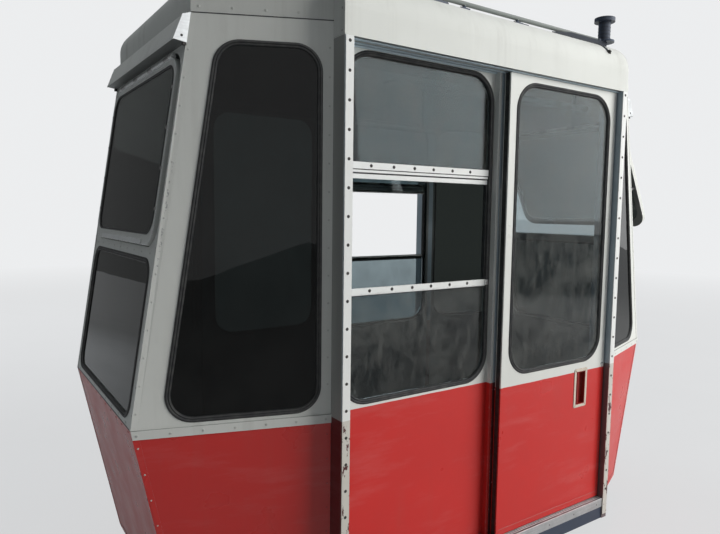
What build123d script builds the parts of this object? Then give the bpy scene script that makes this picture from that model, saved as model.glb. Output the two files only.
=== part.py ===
from build123d import *
from math import atan2, cos, radians, sin, tan
import os

# Aerial ropeway cabin with its hanger and four-sheave carriage. Millimetres.
# X runs along the ropes, +Z up, and the origin is on the track rope under the carriage's centre.
# The right side is -Y and the rear end is -X. Depth d is measured inwards from the door plane.

# Driving dimensions of the cabin body
DOOR_RUN = 1540.0          # length of the straight door section along X
CABIN_WIDTH = 1452.0       # over the two door planes
PORTAL_STEP = 67.0         # the bays start this far in from the door plane
END_WIDTH = 934.0          # over each end, the same from the eaves to the skirt
EAVES_X = 1179.0           # the ends' faces stand this far from the middle at the eaves,
WAIST_X = 1389.0           # at the waist, where the cabin is longest,
SKIRT_X = 1227.0           # and at the bottom of the skirt
WALL = 28.0                # thickness of the bay and end panels

# Heights, all measured from the door head
ROOF_RISE = 220.0          # door head up to the flat of the roof
EAVES_RISE = 57.0          # door head up to the eaves seam
WAIST_DROP = 1257.0        # door head down to the waist seam
DOOR_DROP = 1930.0         # door head down to the floor
SKIRT_DROP = 2030.0        # door head down to the bottom of the skirt
ROOF_BELOW_ROPE = 2350.0   # track rope down to the flat of the roof
MOULDING_H = 30.0          # height of the waist moulding
MOULDING_T = 4.0
HEAD = -(ROOF_BELOW_ROPE + ROOF_RISE)
EAVES = HEAD + EAVES_RISE
WAIST = HEAD - WAIST_DROP
FLOOR = HEAD - DOOR_DROP
SKIRT = HEAD - SKIRT_DROP
ROOF_TOP = HEAD + ROOF_RISE

# Doors: a sliding leaf near the door plane runs in front of a fixed leaf set further in
SLIDING_D = 27.0           # depth of the sliding leaf's outer face
FIXED_D = 87.0             # depth of the fixed leaf's outer face
LEAF_T = 30.0              # thickness of a leaf
LEAF_GAP = 5.0             # moving leaf to everything fixed
POST_W = 34.0              # width of a portal post along X
SLIDING_W = 705.0          # width of the sliding leaf
CENTRE_POST_W = 46.0       # width of the centre post along X

# Windows
GASKET_W = 16.0            # width of a rubber gasket seen from outside
GASKET_PROUD = 4.0         # how far it stands out of the panel
GLASS_T = 5.0
PANE_IN = 4.0              # a pane's outer face behind the panel's
LEAF_CORNER_R = 115.0      # corners of the door windows
BAY_CORNER_R = 88.0
END_CORNER_R = 62.0

# Carriage on the track rope
ROPE_R = 15.0              # track rope
SHEAVE_R = 140.0           # to the root of the groove
SHEAVE_LIP = 20.0          # lip above the root
SHEAVE_W = 52.0            # width over the rim
SHEAVE_SPACING = 350.0     # between the two sheaves of a rocker
ROCKER_SPACING = 800.0     # between the two rocker pins
AXLE_R = 18.0
ROCKER_PIN_R = 20.0
HANGER_PIN_R = 30.0
RUNNING_FIT = 0.05         # radial
PLATE_T = 12.0             # side plates of the beam and rockers
SIDE_GAP = 6.0             # between turning pieces, sideways
ROCKER_PIN_RISE = 90.0     # rocker pin above the sheave axles
HANGER_PIN_RISE = 90.0     # hanger pin above the rope
HANGER_SIDE = 150.0        # the hanger passes the rope this far to the +Y side
HAUL_ROPE_R = 8.0
HAUL_DROP = 95.0           # haul ropes below the track rope

HALF_L = DOOR_RUN / 2
HALF_W = CABIN_WIDTH / 2
BAY_Y = HALF_W - PORTAL_STEP
END_HALF = END_WIDTH / 2


def mirrored(solid, x=True, y=True):
    """The solid with its copies across the cabin's two upright middle planes."""
    out = [solid]
    if x:
        out += [mirror(s, about=Plane.YZ) for s in out]
    if y:
        out += [mirror(s, about=Plane.XZ) for s in out]
    return out


def turned(solid):
    """The same piece on the other side: the cabin is alike after half a turn about Z."""
    return solid.rotate(Axis.Z, 180)


def box(x0, x1, y0, y1, z0, z1):
    """A block between six limits."""
    return Pos((x0 + x1) / 2, (y0 + y1) / 2, (z0 + z1) / 2) * Box(x1 - x0, y1 - y0, z1 - z0)


def rod(start, end, radius):
    """A round bar from one point to another."""
    a, b = Vector(*start), Vector(*end)
    plane = Plane(origin=a, z_dir=b - a)
    return extrude(plane * Circle(radius), (b - a).length)


def outline(points, radius=0.0):
    """A flat face through the points, all its corners rounded alike."""
    face = make_face(Polyline(*points, close=True))
    return fillet(face.vertices(), radius) if radius else face


def slab(plane, face, thickness, proud=0.0):
    """The face on the plane, thickened inwards from a little proud of the plane."""
    return extrude((plane.offset(proud)) * face, -(thickness + proud))


def window(plane, points, radius, thickness):
    """Hole, rubber gasket and pane of a window whose gasket has the given outline."""
    outer = outline(points, radius)
    inner = offset(outer, -GASKET_W, kind=Kind.INTERSECTION)
    hole = slab(plane, outer, thickness + 20, 10)
    gasket = slab(plane, outer - inner, thickness + GASKET_PROUD, GASKET_PROUD)
    pane = slab(plane.offset(-PANE_IN), inner, GLASS_T)
    return hole, gasket, pane


def end_reach(z):
    """How far the ends' faces stand from the middle at a height."""
    if z >= WAIST:
        return WAIST_X + (EAVES_X - WAIST_X) * (z - WAIST) / (EAVES - WAIST)
    return WAIST_X + (SKIRT_X - WAIST_X) * (z - WAIST) / (SKIRT - WAIST)


def bay_turn(z):
    """Angle that the bays turn in towards their ends at a height, in radians."""
    return atan2(BAY_Y - END_HALF, end_reach(z) - HALF_L)


def bay_run(z):
    """Length of a bay along its face at a height."""
    return (BAY_Y - END_HALF) / sin(bay_turn(z))


# Construction planes, each facing outwards with its own y pointing up
def door_plane(depth):
    """Plane of the right side at a depth from the door plane; its x is X, its y is Z."""
    return Plane(origin=(0, -HALF_W + depth, 0), x_dir=(1, 0, 0), z_dir=(0, -1, 0))


BAY_MID = (bay_turn(EAVES) + bay_turn(WAIST)) / 2
BAY_PLANE = Plane(origin=(-HALF_L, -BAY_Y, 0), x_dir=(cos(BAY_MID), -sin(BAY_MID), 0),
                  z_dir=(-sin(BAY_MID), -cos(BAY_MID), 0))
UPPER_LEAN = atan2(WAIST_X - EAVES_X, EAVES - WAIST)
LOWER_LEAN = atan2(WAIST_X - SKIRT_X, WAIST - SKIRT)
UPPER_H = (EAVES - WAIST) / cos(UPPER_LEAN)
LOWER_H = (WAIST - SKIRT) / cos(LOWER_LEAN)
END_PLANE = Plane(origin=(-WAIST_X, 0, WAIST), x_dir=(0, -1, 0),
                  z_dir=(-cos(UPPER_LEAN), 0, sin(UPPER_LEAN)))
APRON_PLANE = Plane(origin=(-WAIST_X, 0, WAIST), x_dir=(0, -1, 0),
                    z_dir=(-cos(LOWER_LEAN), 0, -sin(LOWER_LEAN)))


def end_height(z):
    """Distance up the leaning end face, from the waist, of a height z."""
    return (z - WAIST) / cos(UPPER_LEAN)


# Portal: posts, header and track
def portal_posts():
    """One upright at each end of both door sections; its outer side is the step to the bay."""
    depth = FIXED_D + LEAF_T
    post = box(-HALF_L, -HALF_L + POST_W, -HALF_W, -HALF_W + depth, SKIRT, HEAD)
    return mirrored(post)


def centre_posts():
    """The upright that the fixed leaf is screwed to, behind the path of the sliding leaf."""
    x1 = -HALF_L + POST_W + fixed_width() + CENTRE_POST_W
    y0 = -HALF_W + SLIDING_D + LEAF_T + GASKET_PROUD + LEAF_GAP
    post = box(x1 - CENTRE_POST_W, x1, y0, -HALF_W + FIXED_D + LEAF_T, FLOOR, HEAD)
    return [post, turned(post)]


def fixed_width():
    """The fixed leaf reaches from its portal post to the centre post."""
    sliding_left = HALF_L - POST_W - LEAF_GAP - SLIDING_W
    return sliding_left - CENTRE_POST_W / 4 - (-HALF_L + POST_W)


HEADER_FACE = 90.0         # upright face of the header above the door head
HEADER_R = 130.0           # its rounded shoulder
HEADER_LIP = 5.0           # the header's top edge over the roof's flat
TRACK_D = SLIDING_D + LEAF_T / 2
TRACK_W = 40.0             # inside width of the track
TRACK_H = 46.0
LIP_H = 8.0                # thickness of the soffit under the track
SLOT_W = 18.0              # slot in the soffit for the door hangers


def door_headers():
    """The white header over both doors: upright face, rounded shoulder, hollow for the track."""
    inner = HALF_W - (FIXED_D + LEAF_T)
    shoulder = HALF_W - HEADER_R
    with BuildPart() as part:
        with BuildSketch(Plane.YZ.offset(-HALF_L)):
            with BuildLine():
                Polyline((-inner, HEAD), (-HALF_W, HEAD), (-HALF_W, HEAD + HEADER_FACE))
                ThreePointArc((-HALF_W, HEAD + HEADER_FACE),
                              (-shoulder - HEADER_R * cos(radians(45)),
                               HEAD + HEADER_FACE + HEADER_R * sin(radians(45))),
                              (-shoulder, ROOF_TOP))
                Polyline((-shoulder, ROOF_TOP), (-inner + 40, ROOF_TOP), (-inner + 40, EAVES),
                         (-inner, EAVES), (-inner, HEAD))
            make_face()
        extrude(amount=DOOR_RUN)
    header = part.part
    y = -HALF_W + TRACK_D
    header -= box(-HALF_L + 6, HALF_L - 6, y - TRACK_W / 2, y + TRACK_W / 2,
                  HEAD + LIP_H, HEAD + LIP_H + TRACK_H)
    header -= box(-HALF_L + POST_W, HALF_L - POST_W, y - SLOT_W / 2, y + SLOT_W / 2,
                  HEAD - 1, HEAD + LIP_H + 1)
    header -= roof_block(0)
    return [header, mirror(header, about=Plane.XZ)]


ROOF_R = 100.0             # rounded edge of the roof over the bays
ROOF_SKIN = 24.0


def roof_block(inset):
    """The roof over the bays as a block, rounded along its top edges."""
    y0, y1 = BAY_Y - inset, END_HALF - inset
    x1 = EAVES_X - inset
    plan = [(-HALF_L, -y0), (HALF_L, -y0), (x1, -y1), (x1, y1), (HALF_L, y0), (-HALF_L, y0),
            (-x1, y1), (-x1, -y1)]
    block = extrude(Pos(0, 0, EAVES) * outline(plan), ROOF_RISE - EAVES_RISE - HEADER_LIP - inset)
    top = block.faces().sort_by(Axis.Z)[-1]
    return fillet(top.edges(), ROOF_R - inset)


def roof_shell():
    """The roof: rounded edges, hollow below, its rim standing on the panels."""
    hollow = roof_block(ROOF_SKIN)
    return [roof_block(0) - hollow]


VISOR_TOP = 55.0           # visor's top edge above the door head, at the wall
VISOR_FALL = 9.0           # its top falls this much outwards
VISOR_LOW = 32.0           # its lower edge below the door head
VISOR_OUT_TOP = 24.0
VISOR_OUT = 42.0
VISOR_LIP = 6.0


def end_visors():
    """The rain visor over each end's window, a box that widens downwards."""
    top, low = HEAD + VISOR_TOP, HEAD - VISOR_LOW
    outer = top - VISOR_FALL
    profile = [(-end_reach(top), top), (-end_reach(outer) - VISOR_OUT_TOP, outer),
               (-end_reach(low) - VISOR_OUT, low), (-end_reach(low - VISOR_LIP), low - VISOR_LIP)]
    visor = extrude(Plane.XZ * outline(profile), END_HALF, both=True)
    for wall in mirrored(bay_panel(), x=False):
        visor -= wall
    return [visor, mirror(visor, about=Plane.YZ)]


# Bays
BAY_WIN_NEAR = 37.0        # gasket's edge nearest the door, along the bay
BAY_WIN_TOP = 22.0         # below the door head
BAY_WIN_LOW = 1243.0
BAY_WIN_FAR = 89.0         # from the corner at the end, measured along the bay
PORTAL_LAP = 20.0          # the bay's walls are drawn this far past the portal, then cut there


def beyond_portal():
    """The room of the door section, which the bay's walls stop at."""
    return box(-HALF_L, 0, -HALF_W, 0, SKIRT - 1, ROOF_TOP)


def bay_point(run, z, out=0.0):
    """A point of the rear right bay: along it from the portal, at a height, out of its face."""
    turn = bay_turn(z)
    return Vector(-HALF_L - run * cos(turn) - out * sin(turn),
                  -BAY_Y + run * sin(turn) - out * cos(turn), z)


def bay_wall(top, low, out, inner):
    """Wall of the rear right bay between two heights, and between two distances out of its face.

    The end is equally wide all the way up but leans out to the waist, so that the bay turns in
    more at the eaves than at the waist, and its sheet is slightly twisted.
    """
    sections = []
    for z in (low, top):
        corners = [bay_point(-PORTAL_LAP, z, out), bay_point(bay_run(z), z, out),
                   bay_point(bay_run(z), z, inner), bay_point(-PORTAL_LAP, z, inner)]
        sections.append(make_face(Polyline(*corners, close=True)))
    return loft(sections, ruled=True)


def bay_window():
    """Hole, gasket and pane of the rear right bay's window."""
    top, low = HEAD - BAY_WIN_TOP, HEAD - BAY_WIN_LOW
    corners = [bay_point(BAY_WIN_NEAR, top), bay_point(bay_run(top) - BAY_WIN_FAR, top),
               bay_point(bay_run(low) - BAY_WIN_FAR, low), bay_point(BAY_WIN_NEAR, low)]
    flat = [BAY_PLANE.to_local_coords(c) for c in corners]
    outer = outline([(c.X, c.Y) for c in flat], BAY_CORNER_R)
    inner = offset(outer, -GASKET_W, kind=Kind.INTERSECTION)
    reach = 4 * WALL
    hole = extrude(BAY_PLANE * outer, reach, both=True)
    gasket = extrude(BAY_PLANE * (outer - inner), reach, both=True)
    pane = extrude(BAY_PLANE * inner, reach, both=True)
    return (hole, gasket & bay_wall(EAVES, WAIST, GASKET_PROUD, -WALL),
            pane & bay_wall(EAVES, WAIST, -PANE_IN, -PANE_IN - GLASS_T))


def bay_panel():
    """The white wall of the rear right bay, above the waist, with its window cut."""
    return bay_wall(EAVES, WAIST, 0, -WALL) - bay_window()[0] - beyond_portal()


def bay_apron():
    """The red wall of the rear right bay, below the waist."""
    return bay_wall(WAIST, SKIRT, 0, -WALL) - beyond_portal()


def waist_moulding():
    """The riveted strip that covers the seam of the rear right bay."""
    strip = bay_wall(WAIST, SKIRT, MOULDING_T, 0)
    return strip & box(-2 * WAIST_X, -HALF_L, -HALF_W, 0, WAIST - MOULDING_H, WAIST)


# Ends
END_WIN_SIDE = 42.0        # lower window's gasket from the corner
PANE_TOP = 722.0           # lower window, below the door head
PANE_LOW = 1238.0
HOPPER_SIDE = 20.0         # hopper's opening from the corner
HOPPER_TOP = 52.0          # below the door head, clear of the visor
HOPPER_LOW = 685.0
HOPPER_R = 90.0            # corners of the opening
HOPPER_SEAL = 16.0         # seal at the sides, and the hinge's place along the top
HOPPER_FOOT = 4.0          # seal along the bottom
HOPPER_ANGLE = 18.0        # the front hopper stands open this far
HOPPER_FRAME = 27.0
HOPPER_RAIL = 41.0         # its bottom rail
HOPPER_T = 22.0
HOPPER_PROUD = 7.0
HOPPER_PANE_IN = 2.0       # pane's outer face behind the frame's
SEAL_T = 20.0
HINGE_R = HOPPER_SEAL / 2 + 1
HINGE_OUT = 4.0            # hinge's middle in front of the end face


def end_points(side, top, low):
    """A rectangle on the rear end: in from its corners, and between two drops below the head."""
    zt, zl = end_height(HEAD - top), end_height(HEAD - low)
    half = END_HALF - side
    return [(-half, zt), (half, zt), (half, zl), (-half, zl)]


def end_window():
    """The fixed lower window of the rear end."""
    return window(END_PLANE, end_points(END_WIN_SIDE, PANE_TOP, PANE_LOW), END_CORNER_R, WALL)


def hopper_outlines():
    """Outlines of the hopper's opening, its frame and its pane."""
    side, top, low = HOPPER_SIDE + HOPPER_SEAL, HOPPER_TOP + HOPPER_SEAL, HOPPER_LOW - HOPPER_FOOT
    opening = outline(end_points(HOPPER_SIDE, HOPPER_TOP, HOPPER_LOW), HOPPER_R)
    outer = outline(end_points(side, top, low), HOPPER_R - HOPPER_SEAL)
    inner = outline(end_points(side + HOPPER_FRAME, top + HOPPER_FRAME, low - HOPPER_RAIL),
                    HOPPER_R - HOPPER_SEAL - HOPPER_FRAME / 2)
    return opening, outer, inner


def hopper_seal():
    """The rubber round the rear end's opening, from one end of the hinge to the other."""
    opening, outer, _ = hopper_outlines()
    zt = end_height(HEAD - HOPPER_TOP)
    half = hinge_half()
    hinge = outline([(-half, zt + 1), (half, zt + 1), (half, zt - HOPPER_R), (-half, zt - HOPPER_R)])
    seal = slab(END_PLANE.offset(-2), opening - outer - hinge, SEAL_T)
    for side in mirrored(bay_panel(), x=False):
        seal -= side
    return seal


def end_panel():
    """The white end wall above the waist, with the two windows cut."""
    points = [(-END_HALF, UPPER_H + WALL), (END_HALF, UPPER_H + WALL), (END_HALF, 0), (-END_HALF, 0)]
    panel = slab(END_PLANE, outline(points), WALL)
    panel &= box(-2 * WAIST_X, 0, -HALF_W, HALF_W, WAIST, EAVES)
    panel -= slab(END_PLANE, hopper_outlines()[0], 2 * WALL, WALL)
    panel -= end_window()[0]
    panel -= hinge_tube()
    for side in mirrored(bay_panel(), x=False):
        panel -= side
    return panel


def end_apron():
    """The red end wall below the waist."""
    points = [(-END_HALF, 0), (END_HALF, 0), (END_HALF, -LOWER_H), (-END_HALF, -LOWER_H)]
    panel = slab(APRON_PLANE, outline(points), WALL)
    panel &= box(-2 * WAIST_X, 0, -HALF_W, HALF_W, SKIRT, WAIST)
    for side in mirrored(bay_apron(), x=False):
        panel -= side
    return panel


def hopper():
    """Frame and pane of the rear end's top-hung window, shut."""
    _, outer, inner = hopper_outlines()
    frame = slab(END_PLANE, outer - inner, HOPPER_T - HOPPER_PROUD, HOPPER_PROUD) - hinge_tube()
    pane = slab(END_PLANE.offset(HOPPER_PROUD - HOPPER_PANE_IN), inner, GLASS_T)
    return frame, pane


def hinge_half():
    """Half length of the hinge, between the rounded corners."""
    return END_HALF - HOPPER_SIDE - HOPPER_R


def hinge_ends():
    """Ends of the hinge tube along the top of the rear end's hopper."""
    height = end_height(HEAD - HOPPER_TOP - HOPPER_SEAL / 2)
    plane = END_PLANE.offset(HINGE_OUT)
    return [plane.from_local_coords((y, height, 0)) for y in (-hinge_half(), hinge_half())]


def hinge_tube():
    """The hinge tube of the rear end's hopper, let into the wall and the frame."""
    a, b = hinge_ends()
    return rod(tuple(a), tuple(b), HINGE_R)


def hopper_open(solid):
    """The front end's hopper: mirrored, then swung out about its hinge."""
    a = hinge_ends()[0]
    hinge = Axis((-a.X, 0, a.Z), (0, 1, 0))
    return mirror(solid, about=Plane.YZ).rotate(hinge, -HOPPER_ANGLE)


# Door leaves
WIN_TOP = 11.0             # fixed leaf's gasket below the door head
WIN_LOW = 1253.0
SLIDING_WIN_TOP = 31.0
SLIDING_WIN_LOW = 1238.0
FIXED_WIN_SIDE = 17.0      # gasket from the leaf's edge
SLIDING_WIN_SIDE = 43.0
BAR_T = 6.0
SASH_BARS = [              # top and bottom edge below the door head
    (388.0, 412.0),        # riveted bar under the upper pane
    (430.0, 444.0),        # bottom rail of the raised pane
    (831.0, 853.0),        # riveted bar over the lower pane
]


def fixed_span():
    """X limits of the right fixed leaf."""
    return -HALF_L + POST_W, -HALF_L + POST_W + fixed_width()


def fixed_points():
    """Outline of the fixed leaf's window."""
    x0, x1 = fixed_span()
    x0 += FIXED_WIN_SIDE
    x1 -= FIXED_WIN_SIDE
    return [(x0, HEAD - WIN_TOP), (x1, HEAD - WIN_TOP), (x1, HEAD - WIN_LOW), (x0, HEAD - WIN_LOW)]


def fixed_window():
    """Hole, gasket and panes: the middle pane is slid up behind the top one."""
    plane = door_plane(FIXED_D)
    hole, gasket, _ = window(plane, fixed_points(), LEAF_CORNER_R, LEAF_T)
    inner = offset(outline(fixed_points(), LEAF_CORNER_R), -GASKET_W, kind=Kind.INTERSECTION)
    x0, x1 = fixed_span()
    bars = SASH_BARS
    panes = []
    for depth, top, low in ((8.0, 0.0, bars[0][0] + 12), (20.0, 18.0, bars[1][1] - 4),
                            (8.0, bars[2][1] - 12, DOOR_DROP)):
        band = outline([(x0, HEAD - top), (x1, HEAD - top), (x1, HEAD - low), (x0, HEAD - low)])
        panes.append(slab(plane.offset(-depth), inner & band, GLASS_T))
    return hole, gasket, panes


def fixed_leaf():
    """The fixed leaf, a full-height panel with one tall window."""
    x0, x1 = fixed_span()
    face = outline([(x0, FLOOR), (x1, FLOOR), (x1, HEAD), (x0, HEAD)])
    return slab(door_plane(FIXED_D), face, LEAF_T) - fixed_window()[0]


def sash_bars():
    """The three bars across the fixed leaf's window."""
    x0, x1 = fixed_span()
    x0 += FIXED_WIN_SIDE + GASKET_W
    x1 -= FIXED_WIN_SIDE + GASKET_W
    plane = door_plane(FIXED_D)
    bars = []
    for (top, low), depth in zip(SASH_BARS, (2.0, 14.0, 2.0)):
        face = outline([(x0, HEAD - low), (x1, HEAD - low), (x1, HEAD - top), (x0, HEAD - top)])
        bars.append(slab(plane.offset(-depth), face, BAR_T))
    return bars


def sliding_span():
    """X limits of the right sliding leaf, shut."""
    x1 = HALF_L - POST_W - LEAF_GAP
    return x1 - SLIDING_W, x1


def sliding_window():
    """Hole, gasket and pane of the sliding leaf."""
    x0, x1 = sliding_span()
    x0 += SLIDING_WIN_SIDE
    x1 -= SLIDING_WIN_SIDE
    points = [(x0, HEAD - SLIDING_WIN_TOP), (x1, HEAD - SLIDING_WIN_TOP),
              (x1, HEAD - SLIDING_WIN_LOW), (x0, HEAD - SLIDING_WIN_LOW)]
    return window(door_plane(SLIDING_D), points, LEAF_CORNER_R, LEAF_T)


CUP_W = 75.0               # flush pull
CUP_H = 165.0
CUP_TOP = 1278.0           # below the door head
CUP_SIDE = 135.0           # from the leaf's edge to the cup's far edge
HANGER_X = 90.0            # door hangers from the leaf's edges
ROLLER_R = 15.0


def cup_place():
    """X and Z limits of the flush pull in the right sliding leaf."""
    x1 = sliding_span()[1]
    return x1 - CUP_SIDE - CUP_W, x1 - CUP_SIDE, HEAD - CUP_TOP - CUP_H, HEAD - CUP_TOP


def sliding_leaf():
    """The sliding leaf with its window cut and the seat of its flush pull."""
    x0, x1 = sliding_span()
    face = outline([(x0, FLOOR + LEAF_GAP), (x1, FLOOR + LEAF_GAP),
                    (x1, HEAD - LEAF_GAP), (x0, HEAD - LEAF_GAP)])
    leaf = slab(door_plane(SLIDING_D), face, LEAF_T) - sliding_window()[0]
    cx0, cx1, cz0, cz1 = cup_place()
    y = -HALF_W + SLIDING_D
    return leaf - box(cx0, cx1, y - 1, y + 20, cz0, cz1)


def door_pull():
    """The flush pull: a shallow cup with a bar across it."""
    cx0, cx1, cz0, cz1 = cup_place()
    y = -HALF_W + SLIDING_D
    cup = box(cx0, cx1, y - 2, y + 20, cz0, cz1)
    cup -= box(cx0 + 7, cx1 - 7, y - 3, y + 17, cz0 + 7, cz1 - 7)
    bar = rod((cx0 + 18, y + 4, cz0 + 6), (cx0 + 18, y + 4, cz1 - 6), 6)
    return cup + bar


def door_hangers():
    """Two plates on top of the right sliding leaf, each with a roller in the track."""
    x0, x1 = sliding_span()
    y = -HALF_W + TRACK_D
    out = []
    for x in (x0 + HANGER_X, x1 - HANGER_X):
        z = HEAD + LIP_H + 0.4 + ROLLER_R
        plate = box(x - 22, x + 22, y - 3, y + 3, HEAD - LEAF_GAP, z + 12)
        roller = rod((x, y - 14, z), (x, y + 14, z), ROLLER_R)
        out.append(plate + roller)
    return out


def cover_strips():
    """The riveted strips on the posts' faces, one at each end of both doors."""
    strip = box(-HALF_L + 3, -HALF_L + POST_W, -HALF_W - 3, -HALF_W, SKIRT + 20, HEAD)
    return mirrored(strip)


# Floor and underframe
FLOOR_T = 20.0
LONG_BEAM_Y = 300.0        # long beams each side of the middle
LONG_BEAM_W = 50.0
CROSS_BEAM_W = 40.0
CROSS_BEAM_RISE = 15.0     # cross beams end this far above the long beams' undersides
MIDDLE_BEAM_IN = 560.0     # cross beams in from the ends of the door section,
PORTAL_BEAM_IN = 150.0     # by the portals
END_BEAM_OUT = 280.0       # and out from them, under the bays
CROSS_BEAMS = (HALF_L - MIDDLE_BEAM_IN, HALF_L - PORTAL_BEAM_IN, HALF_L + END_BEAM_OUT)
SILL_IN = 4.0              # sill face in from the door plane
SILL_T = 8.0


def floor_plan(inset):
    """Outline of the body at the floor, inside the walls."""
    low = FLOOR - FLOOR_T
    y0 = BAY_Y - (WALL + inset) / cos(bay_turn(low))
    x1 = end_reach(low) - WALL / cos(LOWER_LEAN) - inset
    y1 = y0 - (x1 - HALF_L) * tan(bay_turn(low))
    return [(-HALF_L, -y0), (HALF_L, -y0), (x1, -y1), (x1, y1), (HALF_L, y0), (-HALF_L, y0),
            (-x1, y1), (-x1, -y1)]


def floor_plate():
    """The floor, reaching out to the sills between the posts."""
    plate = extrude(Pos(0, 0, FLOOR - FLOOR_T) * outline(floor_plan(0.5)), FLOOR_T)
    plate += box(-HALF_L + POST_W, HALF_L - POST_W, -HALF_W + SILL_IN, HALF_W - SILL_IN,
                 FLOOR - FLOOR_T, FLOOR)
    for post in portal_posts():
        plate -= post
    return [plate]


def floor_frame():
    """Underframe: two long beams and cross beams below the floor, with the sill faces."""
    top = FLOOR - FLOOR_T
    low = SKIRT + 5
    x1 = SKIRT_X - WALL - 30
    half = LONG_BEAM_W / 2
    beams = [box(-x1, x1, y - half, y + half, low, top) for y in (-LONG_BEAM_Y, LONG_BEAM_Y)]
    frame = beams[0] + beams[1]
    half = CROSS_BEAM_W / 2
    for x in CROSS_BEAMS:
        reach = HALF_W - SILL_IN if x < HALF_L else END_HALF - WALL
        for s in (-1, 1):
            frame += box(s * x - half, s * x + half, -reach, reach, low + CROSS_BEAM_RISE, top)
    for s in (-1, 1):
        y0, y1 = sorted((s * (HALF_W - SILL_IN), s * (HALF_W - SILL_IN - SILL_T)))
        frame += box(-HALF_L + POST_W, HALF_L - POST_W, y0, y1, SKIRT, top)
    return [frame]


# Roof gear
RAIL_IN = 118.0            # rail in from the door plane
RAIL_RISE = 24.0           # rail's middle above the flat of the roof
RAIL_R = 9.0
RAIL_HALF = 700.0
RAIL_STANCHIONS = (150.0, 600.0)   # X, the same both ways
STANCHION_R = 8.0
FOOT_HALF = 20.0           # stanchion's foot plate
FORK_REACH = 45.0          # guide roller beyond the rail's end
BRACKET_X = 510.0          # the bracket under the roller starts here and runs out to it
GUIDE_R = 27.0             # guide roller
GUIDE_H = 84.0
GUIDE_CAP_R = 46.0         # its top flange, and the plate under it
GUIDE_CAP_H = 18.0
GUIDE_PIN_R = 8.0
GUIDE_PIN_H = 120.0


def roof_rails():
    """A bar along both edges of the roof on short stanchions, with a fork at each end."""
    y = -HALF_W + RAIL_IN
    z = ROOF_TOP + RAIL_RISE
    rail = rod((-RAIL_HALF, y, z), (RAIL_HALF, y, z), RAIL_R)
    for x in [s * x for x in RAIL_STANCHIONS for s in (-1, 1)]:
        rail += rod((x, y, ROOF_TOP - 20), (x, y, z), STANCHION_R)
        rail += box(x - FOOT_HALF, x + FOOT_HALF, y - 14, y + 14, ROOF_TOP - 20, ROOF_TOP + 5)
    for s in (-1, 1):
        xg = s * (RAIL_HALF + FORK_REACH)
        rail += Pos(xg, y, z) * Cylinder(GUIDE_CAP_R, 8)
        rail += box(min(s * (RAIL_HALF - 10), xg), max(s * (RAIL_HALF - 10), xg),
                    y - 16, y + 16, z - 4, z + 4)
        rail += Pos(xg, y, z + GUIDE_PIN_H / 2 - 5) * Cylinder(GUIDE_PIN_R, GUIDE_PIN_H)
        rail += box(min(s * BRACKET_X, xg), max(s * BRACKET_X, xg), y - 4, y + 4, ROOF_TOP - 20, z)
    rail -= door_headers()[0]
    rail -= roof_block(0)
    return [rail, mirror(rail, about=Plane.XZ)]


def guide_roller(sx, sy):
    """The guide roller with its flange, turning on the upright pin at one end of a rail."""
    y = sy * (HALF_W - RAIL_IN)
    x = sx * (RAIL_HALF + FORK_REACH)
    z = ROOF_TOP + RAIL_RISE + 4 + 1
    roller = Pos(x, y, z + GUIDE_H / 2) * Cylinder(GUIDE_R, GUIDE_H)
    roller += Pos(x, y, z + GUIDE_H + GUIDE_CAP_H / 2) * Cylinder(GUIDE_CAP_R, GUIDE_CAP_H)
    return roller - Pos(x, y, z + GUIDE_H / 2) * Cylinder(GUIDE_PIN_R + RUNNING_FIT, GUIDE_H + 80)


# Saddle
BASE_HALF = 330.0          # half length along the roof
BASE_H = 400.0
CHEEK_Y = 110.0            # cheeks each side of the middle
HEAD_HALF = 95.0
HEAD_T = 16.0
CHEEK_T = 16.0
LIGHTEN_LOW = 190.0        # half lengths of the hole in a cheek, at its foot
LIGHTEN_TOP = 60.0         # and at its top
LIGHTEN_FOOT = 70.0        # the hole stands this far over the cheek's foot
LIGHTEN_HEAD = 80.0        # and ends this far under the head
LIGHTEN_R = 25.0
CHANNEL_H = 60.0           # cross channels under the cheeks
CHANNEL_W = 80.0
CHANNEL_FROM_END = 30.0    # their middle in from the cheek's end
CHANNEL_IN = 220.0         # their ends in from the door planes


def hanger_base():
    """The saddle on the roof that the hanger is bolted to: two cheeks on cross channels."""
    z0, z1 = ROOF_TOP - 5, ROOF_TOP + BASE_H
    base = box(-HEAD_HALF, HEAD_HALF, -CHEEK_Y - 10, CHEEK_Y + 10, z1 - HEAD_T, z1)
    cheek = outline([(-BASE_HALF, z0), (BASE_HALF, z0), (BASE_HALF, z0 + CHANNEL_H),
                     (HEAD_HALF, z1 - 10), (-HEAD_HALF, z1 - 10), (-BASE_HALF, z0 + CHANNEL_H)])
    lighten = outline([(-LIGHTEN_LOW, z0 + LIGHTEN_FOOT), (LIGHTEN_LOW, z0 + LIGHTEN_FOOT),
                       (LIGHTEN_TOP, z1 - LIGHTEN_HEAD), (-LIGHTEN_TOP, z1 - LIGHTEN_HEAD)], LIGHTEN_R)
    for s in (-1, 1):
        plane = Plane.XZ.offset(-s * CHEEK_Y)
        base += extrude(plane * (cheek - lighten), CHEEK_T / 2, both=True)
    for x in (CHANNEL_FROM_END - BASE_HALF, BASE_HALF - CHANNEL_FROM_END):
        base += box(x - CHANNEL_W / 2, x + CHANNEL_W / 2, -HALF_W + CHANNEL_IN, HALF_W - CHANNEL_IN,
                    z0, z0 + CHANNEL_H)
    return base


# Hanger
ARM_STRAIGHT = 420.0       # below the rope: the arm starts back to the middle
ARM_BACK = 860.0           # and hangs under the rope again
ARM_BEND = 160.0
ARM_HALF_X = 45.0
ARM_HALF_Y = 32.0
BOSS_R = 62.0
BOSS_W = 70.0
FOOT_T = 18.0              # flange on the saddle's head
GUSSET_H = 182.0
GUSSET_T = 12.0


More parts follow.
